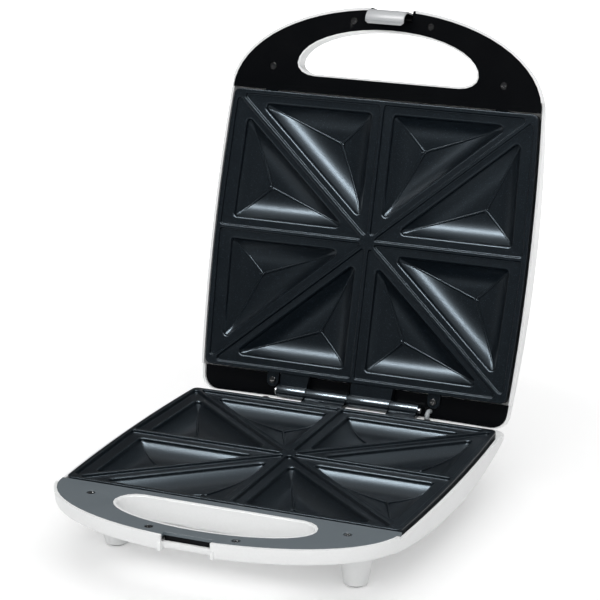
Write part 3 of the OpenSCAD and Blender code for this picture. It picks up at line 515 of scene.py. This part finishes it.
def channel():
    """The ring wall that seats the heating element: a section carried round most of a circle,
    open towards the back for the element's two ends."""
    a = np.radians(np.linspace(RING_START, RING_END, 120))[:, None]
    w = CHANNEL_W / 2
    g = np.radians(np.linspace(180, 0, 9))
    seat = np.stack([TUBE_SEAT_R * np.cos(g), TUBE_Z + TUBE_SEAT_R * np.sin(g)], 1)
    s = np.concatenate([[[-w, CHANNEL_TOP], [-w, TUBE_Z]], seat,
                        [[w, TUBE_Z], [w, CHANNEL_TOP]]])
    r = RING_R + s[None, :, 0] + 0 * a
    pts = np.stack([r * np.cos(a), r * np.sin(a), np.broadcast_to(s[None, :, 1], r.shape)], -1)
    return tube_ends(pts)


def cooking_plate(name, node, place, body, mine):
    """A whole plate as one casting: eight cells, the skirt, the fold ribs, its share of the
    hinge knuckles, the screw ears, and the posts and seat for the heating parts below."""
    parts = []
    for t, kinds, k in cells():
        parts += [cell_top(t, kinds, k), cell_under(t, kinds, k)]
        parts += [fold(t, kinds, i) for i in range(3)]
    parts.append(skirt())
    for p in [(POST_X, 0), (0, POST_X), (-POST_X, 0), (0, -POST_X)]:
        parts.append(turned([(POST_R, REFLECTOR_Z), (POST_R, POST_TOP)], p))
    parts.append(turned([(THERMOSTAT_R, THERMOSTAT_Z), (THERMOSTAT_R, POST_TOP)], n=48))
    parts.append(channel())
    # so far about the plate's middle, from here on about the hinge
    parts = [(p + [0, PLATE_MID, 0], f) for p, f in parts]
    for i in mine:
        parts.append(knuckle(i))
    for s in (-1, 1):
        parts.append(lug(s * FRONT_LUG_X, PLATE_FRONT - FRONT_LUG_Y, LUG_Z - PLATE_WALL,
                         FRONT_LUG_Y, 1))
        parts.append(lug(s * REAR_LUG_X, -REAR_LUG_Y, REAR_SEAT_Z, PLATE_BACK - REAR_LUG_Y, -1))
    obj = made(name, parts, place, body, 34)
    off = face_values(obj.data, "center") - HINGE * MM
    round_hinge = np.hypot(off[:, 1], off[:, 2]) < (KNUCKLE_R + 0.45) * MM
    second_finish(obj.data, round_hinge & (abs(off[:, 0]) < (0.2 - KNUCKLE_X) * MM))
    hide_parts(node)
    return obj


# Latch

HANDLE_FRONT, LATCH_W, LATCH_T, LATCH_LOW = PLATE_FRONT - 72.5, 31.4, 1.6, 17.0
LATCH_PIN_Z, LATCH_PIN_R, LATCH_BARREL_R = -9.0, 1.5, 3.0
LATCH_PIN_Y, LATCH_FACE_Y = HANDLE_FRONT + 7.4, HANDLE_FRONT + 3.2
LATCH_BEND_W, LATCH_BEND_H, LATCH_TURN_R, LATCH_SOFT = 7.4, 9.2, 3, 0.55
LATCH_HOOK_R, LATCH_GROOVE, LATCH_HOOK_YS = 2.2, 0.45, (12.4, 12.7, 13.0, 13.3, 15.0)
LATCH_INSIDE = (0, HANDLE_FRONT + 9.5, 4.0)
CHEEK_START, CHEEK_REACH, CHEEK_LOW, CHEEK_T, CHEEK_SOFT = 1.3, 13.0, -12.6, 1.9, 0.3
NOTCH_W, LIP_FRONT, LIP_BACK, LIP_TOP, LIP_LOW, LIP_SHIFT = 36.0, 3.5, 9.8, -8.1, -14.3, 1.6


def latch():
    """The clip as one bent strip: a flat bar with soft edges carried along a line that leaves
    the pin, turns down, and curves under as a quarter of an ellipse to the hook, with a shallow
    groove before its end; and the barrel round the pin."""
    half = LATCH_T / 2
    top = LATCH_FACE_Y + half
    wide, tall, turn = LATCH_BEND_W, LATCH_BEND_H, LATCH_TURN_R
    a = np.linspace(0, math.pi / 2, 7)
    b = np.linspace(0, math.pi / 2, 22)[1:]
    low = LATCH_LOW - half
    line = np.concatenate([
        [[LATCH_PIN_Y - 0.6, LATCH_PIN_Z]],
        np.stack([top + turn - turn * np.sin(a), LATCH_PIN_Z + turn - turn * np.cos(a)], 1),
        [[top, low - tall - 6], [top, low - tall]],
        np.stack([top + wide * (1 - np.cos(b)), low - tall * (1 - np.sin(b))], 1),
        [[HANDLE_FRONT + y, low] for y in LATCH_HOOK_YS]])
    way = np.gradient(line, axis=0)
    way /= np.linalg.norm(way, axis=1)[:, None]
    out = np.stack([-way[:, 1], way[:, 0]], 1)
    groove = np.zeros(len(line))
    groove[-4:-2] = LATCH_GROOVE
    reach = np.concatenate([[0], np.cumsum(np.linalg.norm(np.diff(line, axis=0), axis=1))])
    left = reach[-1] - reach
    r = LATCH_HOOK_R
    narrow = r - np.sqrt(np.maximum(0, r ** 2 - np.maximum(0, r - left) ** 2))
    side = LATCH_W / 2 - narrow
    c = np.radians([10, 45, 80])
    corner = np.stack([1 - np.cos(c), 1 - np.sin(c)], 1) * LATCH_SOFT
    pts = []
    for sx, sn, order in ((1, 1, 1), (-1, 1, -1), (-1, -1, 1), (1, -1, -1)):
        for inx, inn in corner[::order]:
            x = sx * (side - inx)
            n = sn * (half - inn) - (groove if sn > 0 else 0)
            pts.append(np.stack([x, line[:, 0] + out[:, 0] * n, line[:, 1] + out[:, 1] * n], 1))
    bar = np.stack(pts, 1)
    pin_at = (LATCH_PIN_Y, LATCH_PIN_Z)
    barrel = bushed(circle(LATCH_BARREL_R, 40, 0, pin_at),
                    circle(LATCH_PIN_R + 0.06, 40, 0, pin_at),
                    1 - LATCH_W / 2, LATCH_W / 2 - 1, soft=0.3, axis="x")
    obj = made("clip_latch", [tube_ends(bar), barrel], on_lid, "latch", 50)
    centre, normal = face_values(obj.data, "center"), face_values(obj.data, "normal")
    # painted shade: black on what looks towards a point within the bend, and on what lies round
    # the pin
    inside = on_lid([LATCH_INSIDE])[0]
    facing = ((inside - centre)[:, 1:] * normal[:, 1:]).sum(1) > 0
    off = (centre - on_lid([[0, *pin_at]])[0])[:, 1:]
    round_pin = np.linalg.norm(off, axis=1) < (LATCH_BARREL_R + 0.4) * MM
    second_finish(obj.data, (facing & (abs(normal[:, 0]) < 0.6)) | round_pin)
    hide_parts("latch")
    return obj


# Pieces from the CAD solids

BODY_OF = {n: b for b, members in frame["record"]["behaviour"]["bodies"].items() for n in members}


def dressed(name, node, edge, sharp=32, flat=0.4, change=None):
    """A copy of a CAD node with its loose triangles merged, its flat faces made whole, its
    sharp edges rounded by a small bevel, and everything else shaded smooth. Faces that meet
    at less than the flat angle are made one; change moves the points first."""
    mesh = frame["nodes"][node].data.copy()
    mesh.name = name
    mesh.materials.clear()
    if change:
        change(mesh)
    bm = bmesh.new()
    bm.from_mesh(mesh)
    bmesh.ops.remove_doubles(bm, verts=bm.verts, dist=COPY_MERGE)
    bmesh.ops.dissolve_degenerate(bm, edges=bm.edges, dist=COPY_SLIVER)
    bmesh.ops.dissolve_limit(bm, angle_limit=math.radians(flat), verts=bm.verts, edges=bm.edges)
    bm.to_mesh(mesh)
    bm.free()
    obj = shown(name, mesh, BODY_OF[node], sharp)
    bevel = obj.modifiers.new("edge", "BEVEL")
    bevel.width = edge * MM
    bevel.segments = 2
    bevel.limit_method = "ANGLE"
    bevel.angle_limit = math.radians(sharp)
    bevel.harden_normals = True
    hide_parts(node)
    return obj


def sleeve():
    """The glass sleeve on the leads that cross the hinge: a tube carried up out of the base,
    round a fillet at the hinge axis and on into the lid, its braid's ridges left to the
    material."""
    a = math.radians(LID_OPEN)
    lid_way = np.array([math.sin(a), math.cos(a)])
    reach, r = SLEEVE_REACH, SLEEVE_REACH / math.tan(a / 2)
    near, middle, far = SLEEVE_LENGTHS
    turn = np.linspace(0, a, 15)
    bend = np.stack([r - r * np.cos(turn), -reach + r * np.sin(turn)], 1)
    line = np.concatenate([[[0, -far], [0, -middle], [0, -near]], bend,
                           [lid_way * near, lid_way * middle, lid_way * far]])
    way = np.gradient(line, axis=0)
    way /= np.linalg.norm(way, axis=1)[:, None]
    side = np.stack([-way[:, 1], way[:, 0]], 1)
    c = np.linspace(0, 2 * math.pi, 20, endpoint=False)[None]
    pts = np.zeros((len(line), 20, 3))
    pts[..., 0] = SLEEVE_X + SLEEVE_R * np.cos(c)
    pts[..., 1] = line[:, :1] + SLEEVE_R * np.sin(c) * side[:, :1]
    pts[..., 2] = line[:, 1:] + SLEEVE_R * np.sin(c) * side[:, 1:]
    obj = made("lead_sleeve", [tube_ends(pts)], on_base, None)
    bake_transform(obj)
    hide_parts("base_lead_sleeve", "lid_lead_sleeve")
    return obj


# Materials

def linear(hex_colour):
    """A hex colour as written for a screen, turned to linear light."""
    v = np.array([int(hex_colour[i:i + 2], 16) for i in (1, 3, 5)]) / 255
    v = np.where(v <= 0.04045, v / 12.92, ((v + 0.055) / 1.055) ** 2.4)
    return (*v.tolist(), 1.0)


def add(tree, kind, settings=(), **inputs):
    """Adds a node: settings are its own options, inputs are its sockets, each given a value or
    the socket that feeds it. An i with a number picks a socket by its place."""
    n = tree.nodes.new(kind)
    for key, value in dict(settings).items():
        setattr(n, key, value)
    for key, value in inputs.items():
        name = key.replace("_", " ")
        socket = n.inputs[int(key[1:])] if key[0] == "i" and key[1:].isdigit() else n.inputs[name]
        if isinstance(value, bpy.types.NodeSocket):
            tree.links.new(value, socket)
        else:
            socket.default_value = value
    return n


def material(name):
    """A new material with an empty node tree, and the tree."""
    m = bpy.data.materials.new(name)
    m.use_nodes = True
    m.node_tree.nodes.clear()
    return m, m.node_tree


SPECK_FADE = 0.06  # how softly a speck begins, as a step of its noise


def surface(name, dark, light, rough, grain, patch, relief, relief_mm, speck=None, **shader):
    """A moulded, cast or coated surface. Fine grain of a real size in mm lifts the surface and
    mixes the two colours, broad patches vary the gloss, and specks of a third colour show
    where a second fine noise is high."""
    m, tree = material(name)
    where = add(tree, "ShaderNodeTexCoord").outputs["Object"]
    fine = add(tree, "ShaderNodeTexNoise", Vector=where, Scale=1 / (grain * MM), Detail=3.0,
               Roughness=0.6).outputs["Fac"]
    broad = add(tree, "ShaderNodeTexNoise", Vector=where, Scale=1 / (patch * MM), Detail=2.0
                ).outputs["Fac"]
    mix = add(tree, "ShaderNodeMix", {"data_type": "RGBA"}, i6=linear(dark), i7=linear(light),
              Factor=fine).outputs[2]
    if speck:
        high = add(tree, "ShaderNodeTexNoise", Vector=where, Scale=1 / (speck[1] * MM), Detail=1.0
                   ).outputs["Fac"]
        where_high = add(tree, "ShaderNodeMapRange", Value=high, i1=speck[2],
                         i2=speck[2] + SPECK_FADE).outputs["Result"]
        mix = add(tree, "ShaderNodeMix", {"data_type": "RGBA"}, i6=mix, i7=linear(speck[0]),
                  Factor=where_high).outputs[2]
    gloss = add(tree, "ShaderNodeMapRange", Value=broad, i1=0.1, i2=0.9, i3=rough[0], i4=rough[1]
                ).outputs["Result"]
    bump = add(tree, "ShaderNodeBump", Height=fine, Strength=relief, Distance=relief_mm * MM
               ).outputs["Normal"]
    bsdf = add(tree, "ShaderNodeBsdfPrincipled", Base_Color=mix, Roughness=gloss, Normal=bump,
               **shader)
    add(tree, "ShaderNodeOutputMaterial", Surface=bsdf.outputs["BSDF"])
    return m


# Injection-moulded ABS, glossy white: a faint orange peel from the mould breaks its reflections.
WHITE_ABS = surface("white_moulded_ABS", "#e8e9e9", "#eff0f0", (0.27, 0.34), 1.6, 40, 0.12, 0.05,
                    IOR=1.53, Specular_IOR_Level=0.4)
# The base's cover, ABS with a fine spark-eroded matt grain, slate grey.
SLATE_ABS = surface("slate_grained_ABS", "#4d575d", "#5a646a", (0.42, 0.5), 0.5, 25, 0.35, 0.05,
                    IOR=1.53, Specular_IOR_Level=0.5)
# Polished black ABS of the lid's cover and rear strip: it stays almost unlit. The keeper strip
# and the dark walls inside the lid's notch are black partly as their own colour and partly as
# painted shade; on the white housing's notch ends and the latch's inner side it is painted shade.
BLACK_ABS_AND_SHADE = surface("black_polished_ABS_and_painted_shade", "#050608", "#090b0e", (0.2, 0.28), 1.4, 30, 0.1, 0.04,
                    IOR=1.53, Specular_IOR_Level=0.07)
# Cast aluminium under a sprayed non-stick coating: blue-black with a fine pale fleck, drawn
# half a millimetre across, coarser than the real one, so that it shows.
COATING = surface("non_stick_coated_cast_aluminium", "#05080b", "#0c1218", (0.28, 0.34), 0.45, 30,
                  0.35, 0.04, speck=("#36424c", 0.55, 0.66), IOR=1.5, Specular_IOR_Level=0.28,
                  Specular_Tint=linear("#cddfec"))
# The same coating on the hinge knuckles, burnished by the other half's ears as the lid turns.
KNUCKLE_COAT = surface("burnished_knuckle_coating", "#070a0d", "#10161c", (0.23, 0.29), 0.45, 12,
                       0.3, 0.04, IOR=1.5, Specular_IOR_Level=1.0,
                       Specular_Tint=linear("#d3e3ee"))
# Satin silver-grey ABS of the latch, its metal flake too fine to see one by one.
SILVER_ABS = surface("silver_satin_ABS", "#a2a4a6", "#b0b2b4", (0.4, 0.48), 0.4, 15, 0.1, 0.03,
                     IOR=1.53, Specular_IOR_Level=0.3)
# Vulcanised rubber of the pads and the gland: matt, with a fine powdery skin.
RUBBER = surface("vulcanised_rubber", "#1d1e1f", "#292a2b", (0.72, 0.85), 0.6, 10, 0.5, 0.06,
                 IOR=1.52, Specular_IOR_Level=0.3)
# Zinc-plated steel of the hinge pin and the reflectors' screws: bright, faintly grained.
ZINC_STEEL = surface("zinc_plated_steel", "#a8aaac", "#b9bbbd", (0.25, 0.38), 0.8, 6, 0.15, 0.02,
                     Metallic=1.0)
# Aluminised steel sheet of the reflectors: dull silver spangle some millimetres across.
ALUMINISED = surface("aluminised_steel_sheet", "#94979a", "#a9acae", (0.34, 0.5), 3.0, 8, 0.1,
                     0.02, Metallic=1.0)
# Oxidised nickel alloy of the element's sheath: dark, warm and matt from heat.
SHEATH = surface("oxidised_element_sheath", "#3d3a36", "#56524c", (0.45, 0.6), 1.0, 12, 0.2, 0.03,
                 Metallic=1.0)
# Black-oxidised steel of the outer screws and the latch's pin: dark with a soft sheen.
BLACK_SCREW = surface("black_oxide_steel", "#0e0f10", "#191b1d", (0.14, 0.2), 0.3, 2, 0.15, 0.02,
                      IOR=1.6, Specular_IOR_Level=0.8)
# Steatite of the thermostats and blocks: cream, unglazed and faintly grainy.
STEATITE = surface("unglazed_steatite", "#cfc8b8", "#ddd7c9", (0.55, 0.7), 0.5, 8, 0.3, 0.03,
                   IOR=1.55, Specular_IOR_Level=0.4)


THREAD_STEP, THREAD_SLANT = 0.9, 0.9
WAVE_PERIOD = 0.314  # a wave texture of scale 1 repeats after this length


def braid():
    """Braided glass sleeve: two sets of slanting threads, THREAD_STEP mm apart and turned by
    THREAD_SLANT radians each way, shade and lift it."""
    m, tree = material("braided_glass_sleeve")
    where = add(tree, "ShaderNodeTexCoord").outputs["Object"]
    waves = []
    for angle in (THREAD_SLANT, -THREAD_SLANT):
        turned_to = add(tree, "ShaderNodeMapping", Vector=where, Rotation=(0.0, angle, 0.0))
        waves.append(add(tree, "ShaderNodeTexWave", {"bands_direction": "Z"},
                         Vector=turned_to.outputs[0],
                         Scale=WAVE_PERIOD / (THREAD_STEP * MM)).outputs["Fac"])
    weave = add(tree, "ShaderNodeMath", {"operation": "MAXIMUM"}, i0=waves[0], i1=waves[1])
    mix = add(tree, "ShaderNodeMix", {"data_type": "RGBA"}, i6=linear("#5f666b"),
              i7=linear("#a4aaad"), Factor=weave.outputs[0]).outputs[2]
    bump = add(tree, "ShaderNodeBump", Height=weave.outputs[0], Strength=0.5, Distance=0.2 * MM)
    bsdf = add(tree, "ShaderNodeBsdfPrincipled", Base_Color=mix, Roughness=0.65,
               Normal=bump.outputs[0])
    add(tree, "ShaderNodeOutputMaterial", Surface=bsdf.outputs["BSDF"])
    return m


BRAID = braid()


def clear(name, dark, light):
    """Moulded clear polycarbonate or glass: light passes, tinted, with a faint mould ripple."""
    m, tree = material(name)
    where = add(tree, "ShaderNodeTexCoord").outputs["Object"]
    fine = add(tree, "ShaderNodeTexNoise", Vector=where, Scale=1 / (1.2 * MM)).outputs["Fac"]
    mix = add(tree, "ShaderNodeMix", {"data_type": "RGBA"}, i6=linear(dark), i7=linear(light),
              Factor=fine).outputs[2]
    bump = add(tree, "ShaderNodeBump", Height=fine, Strength=0.1, Distance=0.1 * MM)
    bsdf = add(tree, "ShaderNodeBsdfPrincipled", Base_Color=mix, Roughness=0.12, IOR=1.58,
               Transmission_Weight=0.55, Normal=bump.outputs[0])
    add(tree, "ShaderNodeOutputMaterial", Surface=bsdf.outputs["BSDF"])
    return m


# The two indicators' lenses, tinted and clear, and the lamps behind them in faintly warm glass.
RED_LENS = clear("red_clear_polycarbonate", "#a81d15", "#c3271d")
GREEN_LENS = clear("green_clear_polycarbonate", "#1f7a33", "#2b8a3e")
LAMP_GLASS = clear("neon_lamp_glass", "#e8e2d6", "#f3efe6")


def finish_with(objects, first, second=None):
    """Gives each object its material, in its slots where it has some, and a second one for
    the faces set aside for it."""
    for o in objects:
        slots = o.data.materials
        for i in range(len(slots)):
            slots[i] = first
        for m in ([] if slots else [first]) + ([second] if second else []):
            slots.append(m)


# The toaster

NOTCH_TIP_Z, NOTCH_DEEP, NOTCH_NEAR = -8.0, 14, 1.2


def notch_walls(obj):
    """Paints shade on the end walls of the lid's latch notch: the housing's faces near the
    notch's ends, at the handle's tip, that look along the pin, get its second finish, black."""
    centre, normal = face_values(obj.data, "center"), face_values(obj.data, "normal")
    tip = on_lid([[0, HANDLE_FRONT, NOTCH_TIP_Z]])[0][2]
    near = abs(abs(centre[:, 0]) - NOTCH_W / 2 * MM) < NOTCH_NEAR * MM
    near &= centre[:, 2] > tip - NOTCH_DEEP * MM
    second_finish(obj.data, near & (abs(normal[:, 0]) > 0.5))


LAMP_X, LAMP_Y, LENS_R, LENS_STEM, LID_SKIN_Z = 9.0, PLATE_FRONT - 9.3, 2.6, 2.4, -20.55
# The dome's profile: change of radius, height over the lid's skin.
LENS_DOME = ((0, 0.25), (-0.25, 0.55), (-0.9, 0.8), (-1.8, 0.92))


def lens(name, node, x):
    """An indicator's lens as a low dome on a short round stem, turned about its own line, its
    stem sunk through the skin of the lid's top so that the dome shows."""
    profile = [(LENS_R, LID_SKIN_Z + LENS_STEM)]
    profile += [(LENS_R + out, LID_SKIN_Z - up) for out, up in LENS_DOME]
    obj = made(name, [turned(profile, (x, LAMP_Y))], on_lid, "lid", 40)
    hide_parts(node)
    return obj


def latch_cheeks():
    """Two black end walls inside the lid's notch, one each side of the latch, partly the cover's
    turned-down black and partly painted shade: a rectangle carried a short way along the pin,
    with its inner edges softened."""
    y0, y1 = HANDLE_FRONT + CHEEK_START, HANDLE_FRONT + CHEEK_REACH
    z0, z1 = CHEEK_LOW, COVER_Z + 0.02
    middle = np.array([(y0 + y1) / 2, (z0 + z1) / 2])
    face = NOTCH_W / 2 - CHEEK_T
    outline = along_polygon([[y0, z0], [y1, z0], [y1, z1], [y0, z1]], 64)
    parts = []
    for side in (-1, 1):
        rows = []
        for x, inset in ((face, CHEEK_SOFT), (face + CHEEK_SOFT, 0.0),
                         (NOTCH_W / 2 + 0.3, 0.0)):
            ring = outline - np.sign(outline - middle) * inset
            rows.append(np.concatenate([np.full((len(ring), 1), side * x), ring], 1))
        parts.append(tube_ends(np.stack(rows)))
    return made("latch_cheeks", parts, on_lid, "lid")


def keeper_set_back(mesh):
    """Moves the lip that the latch hooks under away from the handle's front, most at its front
    face and not at all where its bend ends, so that the shut latch clears it."""
    p = np.zeros(3 * len(mesh.vertices))
    mesh.vertices.foreach_get("co", p)
    p = p.reshape(-1, 3)
    x, y, z = ((p / MM) - HINGE).T
    y = y - HANDLE_FRONT
    lip = ((abs(x) < NOTCH_W / 2 + 0.05) & (y > LIP_FRONT - 0.1) & (y < LIP_BACK)
           & (z < LIP_TOP + 0.1) & (z > LIP_LOW))
    p[:, 1] += lip * LIP_SHIFT * MM * (1 - (y - LIP_FRONT) / (LIP_BACK - LIP_FRONT))
    mesh.vertices.foreach_set("co", p.ravel())
    mesh.update()


base_plate = cooking_plate("base_cooking_plate", "base_plate", on_base, "base", [1, 3])
lid_plate = cooking_plate("lid_cooking_plate", "lid_plate", on_lid, "lid", [0, 2])

base_housing = dressed("base_housing", "base_shell", 0.45, 36, 0.02,
                       keeper_set_back)
lid_housing = dressed("lid_housing", "lid_shell", 0.45, 36, 0.02)
base_cover = dressed("base_cover", "base_handle_cover", 0.3)
lid_cover = dressed("lid_cover", "lid_handle_cover", 0.3)
# the keeper strip in the slot under the base's cover is black partly as its own colour and partly
# as painted shade of the slot
keeper = dressed("keeper_backing", "keeper_strip", 0.2)
rear_strip = dressed("lid_rear_strip", "lid_rear_cover", 0.3)
clip = latch()
pads = dressed("rubber_pads", "foot_pads", 0.3)
gland = dressed("lead_gland", "cord_bush", 0.25)
pin = dressed("steel_hinge_pin", "hinge_pin", 0.3)
latch_axle = dressed("steel_latch_pin", "latch_pin", 0.2)
screws = [dressed(n, c, 0.18) for n, c in (
    ("base_front_screws", "base_cover_screws"), ("base_back_screws", "base_rear_screws"),
    ("lid_front_screws", "lid_cover_screws"), ("lid_back_screws", "lid_rear_screws"))]
lead_sleeve = sleeve()
lining = opening_lining()
cheeks = latch_cheeks()
red_lens = lens("power_lens_dome", "power_lens", -LAMP_X)
green_lens = lens("ready_lens_dome", "ready_lens", LAMP_X)

nodes = frame["nodes"]
# painted shade: the white housing's faces at the notch's ends turn black
notch_walls(lid_housing)
for pieces, first, second in (
        ([base_plate, lid_plate], COATING, KNUCKLE_COAT),
        ([base_housing, lining], WHITE_ABS, None),
        ([lid_housing], WHITE_ABS, BLACK_ABS_AND_SHADE),
        ([base_cover], SLATE_ABS, None),
        ([lid_cover, rear_strip, keeper, cheeks], BLACK_ABS_AND_SHADE, None),
        # the latch's inner side takes the black as painted shade
        ([clip], SILVER_ABS, BLACK_ABS_AND_SHADE),
        ([pads, gland], RUBBER, None),
        ([pin], ZINC_STEEL, None),
        ([latch_axle, *screws], BLACK_SCREW, None),
        ([lead_sleeve], BRAID, None),
        ([red_lens], RED_LENS, None),
        ([green_lens], GREEN_LENS, None),
        ([nodes["base_heater"], nodes["lid_heater"]], SHEATH, None),
        ([nodes["base_reflector"], nodes["lid_reflector"]], ALUMINISED, None),
        ([nodes["base_reflector_screws"], nodes["lid_reflector_screws"]], ZINC_STEEL, None),
        ([nodes["base_thermostat"], nodes["lid_thermostat"], nodes["thermal_fuse"],
          nodes["terminal_block"], nodes["lamp_holder"]], STEATITE, None),
        ([nodes["indicator_lamps"]], LAMP_GLASS, None)):
    finish_with(pieces, first, second)


# Camera, floor and light

CAMERA_TURN = (0.3746, 0.2794, 0.0178)
CAMERA_PLACE = (0.56795, -1.44413, 0.60521)
FRAME_W, LENS_RATIO = 36.0, 3.7187
# The floor's half width, and its glow: distance in metres and strength, near and far.
FLOOR_HALF, GLOW_NEAR, GLOW_FAR = 14.0, (0.35, 0.27), (1.2, 1.1)
# The world's brightness in gloss against the height of a direction: two heights, two values.
STUDIO_RAMP = {"i1": 0.03, "i2": 0.14, "i3": 1.0, "i4": 0.045}
CEILING_RAMP = {"i1": 0.4, "i2": 0.8, "i3": 0.0, "i4": 0.6}


def camera():
    """The photograph's viewpoint: turned 21.5 degrees to the right, looking 16 down and rolled
    by 1, with a lens of 3.7 times the frame's width."""
    az, el, roll = CAMERA_TURN
    f = np.array([-math.sin(az) * math.cos(el), math.cos(az) * math.cos(el), -math.sin(el)])
    r = np.array([math.cos(az), math.sin(az), 0.0])
    u = np.cross(r, f)
    x = math.cos(roll) * r + math.sin(roll) * u
    y = -math.sin(roll) * r + math.cos(roll) * u
    data = bpy.data.cameras.new("camera")
    data.sensor_width = FRAME_W
    data.lens = LENS_RATIO * FRAME_W
    data.clip_end = 30.0
    cam = bpy.data.objects.new("camera", data)
    m = Matrix.Identity(4)
    for i in range(3):
        m[i][0], m[i][1], m[i][2] = x[i], y[i], -f[i]
    m[0][3], m[1][3], m[2][3] = CAMERA_PLACE
    cam.matrix_world = m
    bpy.context.scene.collection.objects.link(cam)
    bpy.context.scene.camera = cam


def seen_rays(tree):
    """1 for rays that only look: from the camera, off a gloss or through glass."""
    path = add(tree, "ShaderNodeLightPath").outputs
    a = add(tree, "ShaderNodeMath", {"operation": "MAXIMUM"}, i0=path["Is Camera Ray"],
            i1=path["Is Glossy Ray"]).outputs[0]
    return add(tree, "ShaderNodeMath", {"operation": "MAXIMUM"}, i0=a,
               i1=path["Is Transmission Ray"]).outputs[0]


def floor():
    """A pale sheet whose own glow, for rays that only look, lifts it to white, the more the
    further it lies from the toaster."""
    s = FLOOR_HALF
    mesh = bpy.data.meshes.new("floor")
    mesh.from_pydata([(-s, -s, 0), (s, -s, 0), (s, s, 0), (-s, s, 0)], [], [(0, 1, 2, 3)])
    obj = bpy.data.objects.new("floor", mesh)
    bpy.context.scene.collection.objects.link(obj)
    m, tree = material("white_paper_floor")
    paper = add(tree, "ShaderNodeBsdfDiffuse", Color=linear("#e7e7e7"))
    where = add(tree, "ShaderNodeTexCoord").outputs["Object"]
    away = add(tree, "ShaderNodeVectorMath", {"operation": "LENGTH"}, i0=where).outputs["Value"]
    far = add(tree, "ShaderNodeMapRange", Value=away, i1=GLOW_NEAR[0], i2=GLOW_FAR[0],
              i3=GLOW_NEAR[1], i4=GLOW_FAR[1])
    lift = add(tree, "ShaderNodeMath", {"operation": "MULTIPLY"}, i0=seen_rays(tree),
               i1=far.outputs[0])
    glow = add(tree, "ShaderNodeEmission", Strength=lift.outputs[0])
    both = add(tree, "ShaderNodeAddShader", i0=paper.outputs[0], i1=glow.outputs[0])
    add(tree, "ShaderNodeOutputMaterial", Surface=both.outputs[0])
    mesh.materials.append(m)


def world(ambient):
    """A pale studio, white to the camera. In gloss it is white up to a little over the horizon
    and falls to a dim wall under a soft ceiling. It lights the object evenly at the ambient
    level."""
    w = bpy.data.worlds.new("studio")
    w.use_nodes = True
    tree = w.node_tree
    tree.nodes.clear()
    way = add(tree, "ShaderNodeTexCoord").outputs["Generated"]
    high = add(tree, "ShaderNodeSeparateXYZ", Vector=way).outputs["Z"]
    studio = add(tree, "ShaderNodeMapRange", {"interpolation_type": "SMOOTHSTEP"}, Value=high,
                 **STUDIO_RAMP).outputs["Result"]
    ceiling = add(tree, "ShaderNodeMapRange", {"interpolation_type": "SMOOTHSTEP"}, Value=high,
                  **CEILING_RAMP).outputs["Result"]
    studio = add(tree, "ShaderNodeMath", {"operation": "MAXIMUM"}, i0=studio, i1=ceiling)
    camera_ray = add(tree, "ShaderNodeLightPath").outputs["Is Camera Ray"]
    studio = add(tree, "ShaderNodeMath", {"operation": "MAXIMUM"}, i0=studio.outputs[0],
                 i1=camera_ray)
    strength = add(tree, "ShaderNodeMix", Factor=seen_rays(tree), i2=ambient,
                   i3=studio.outputs[0])
    back = add(tree, "ShaderNodeBackground", Color=linear("#ffffff"),
               Strength=strength.outputs[0])
    add(tree, "ShaderNodeOutputWorld", Surface=back.outputs[0])
    bpy.context.scene.world = w


def lamp(name, place, target, size, radiance, looks_only=False, in_gloss=True):
    """A rectangular soft light that faces a point, given by its brightness; one that looks
    only shows in gloss and lights nothing, and one can be kept out of the gloss."""
    data = bpy.data.lights.new(name, "AREA")
    data.shape = "RECTANGLE"
    data.size, data.size_y = size
    data.energy = radiance * math.pi * size[0] * size[1]
    obj = bpy.data.objects.new(name, data)
    bpy.context.scene.collection.objects.link(obj)
    z = np.array(place, float) - np.array(target, float)
    z /= np.linalg.norm(z)
    x = np.cross([0, 1, 0] if abs(z[2]) > 0.9 else [0, 0, 1], z)
    x /= np.linalg.norm(x)
    y = np.cross(z, x)
    m = Matrix.Identity(4)
    for i in range(3):
        m[i][0], m[i][1], m[i][2], m[i][3] = x[i], y[i], z[i], place[i]
    obj.matrix_world = m
    obj.visible_diffuse = not looks_only
    obj.visible_transmission = not looks_only
    obj.visible_glossy = in_gloss


camera()
floor()
world(0.55)
lamp("overhead_box", (0.05, 0.12, 1.7), (0, 0, 0.1), (2.2, 1.8), 1.05)
lamp("front_fill", (0.3, -2.3, 1.1), (0, 0, 0.15), (2.4, 1.4), 2.2, in_gloss=False)
lamp("overhead_gleam", (0.0, -0.6, 1.49), (0, 0, 0.1), (1.6, 0.22), 93, looks_only=True)
bpy.context.scene.view_settings.view_transform = "Standard"
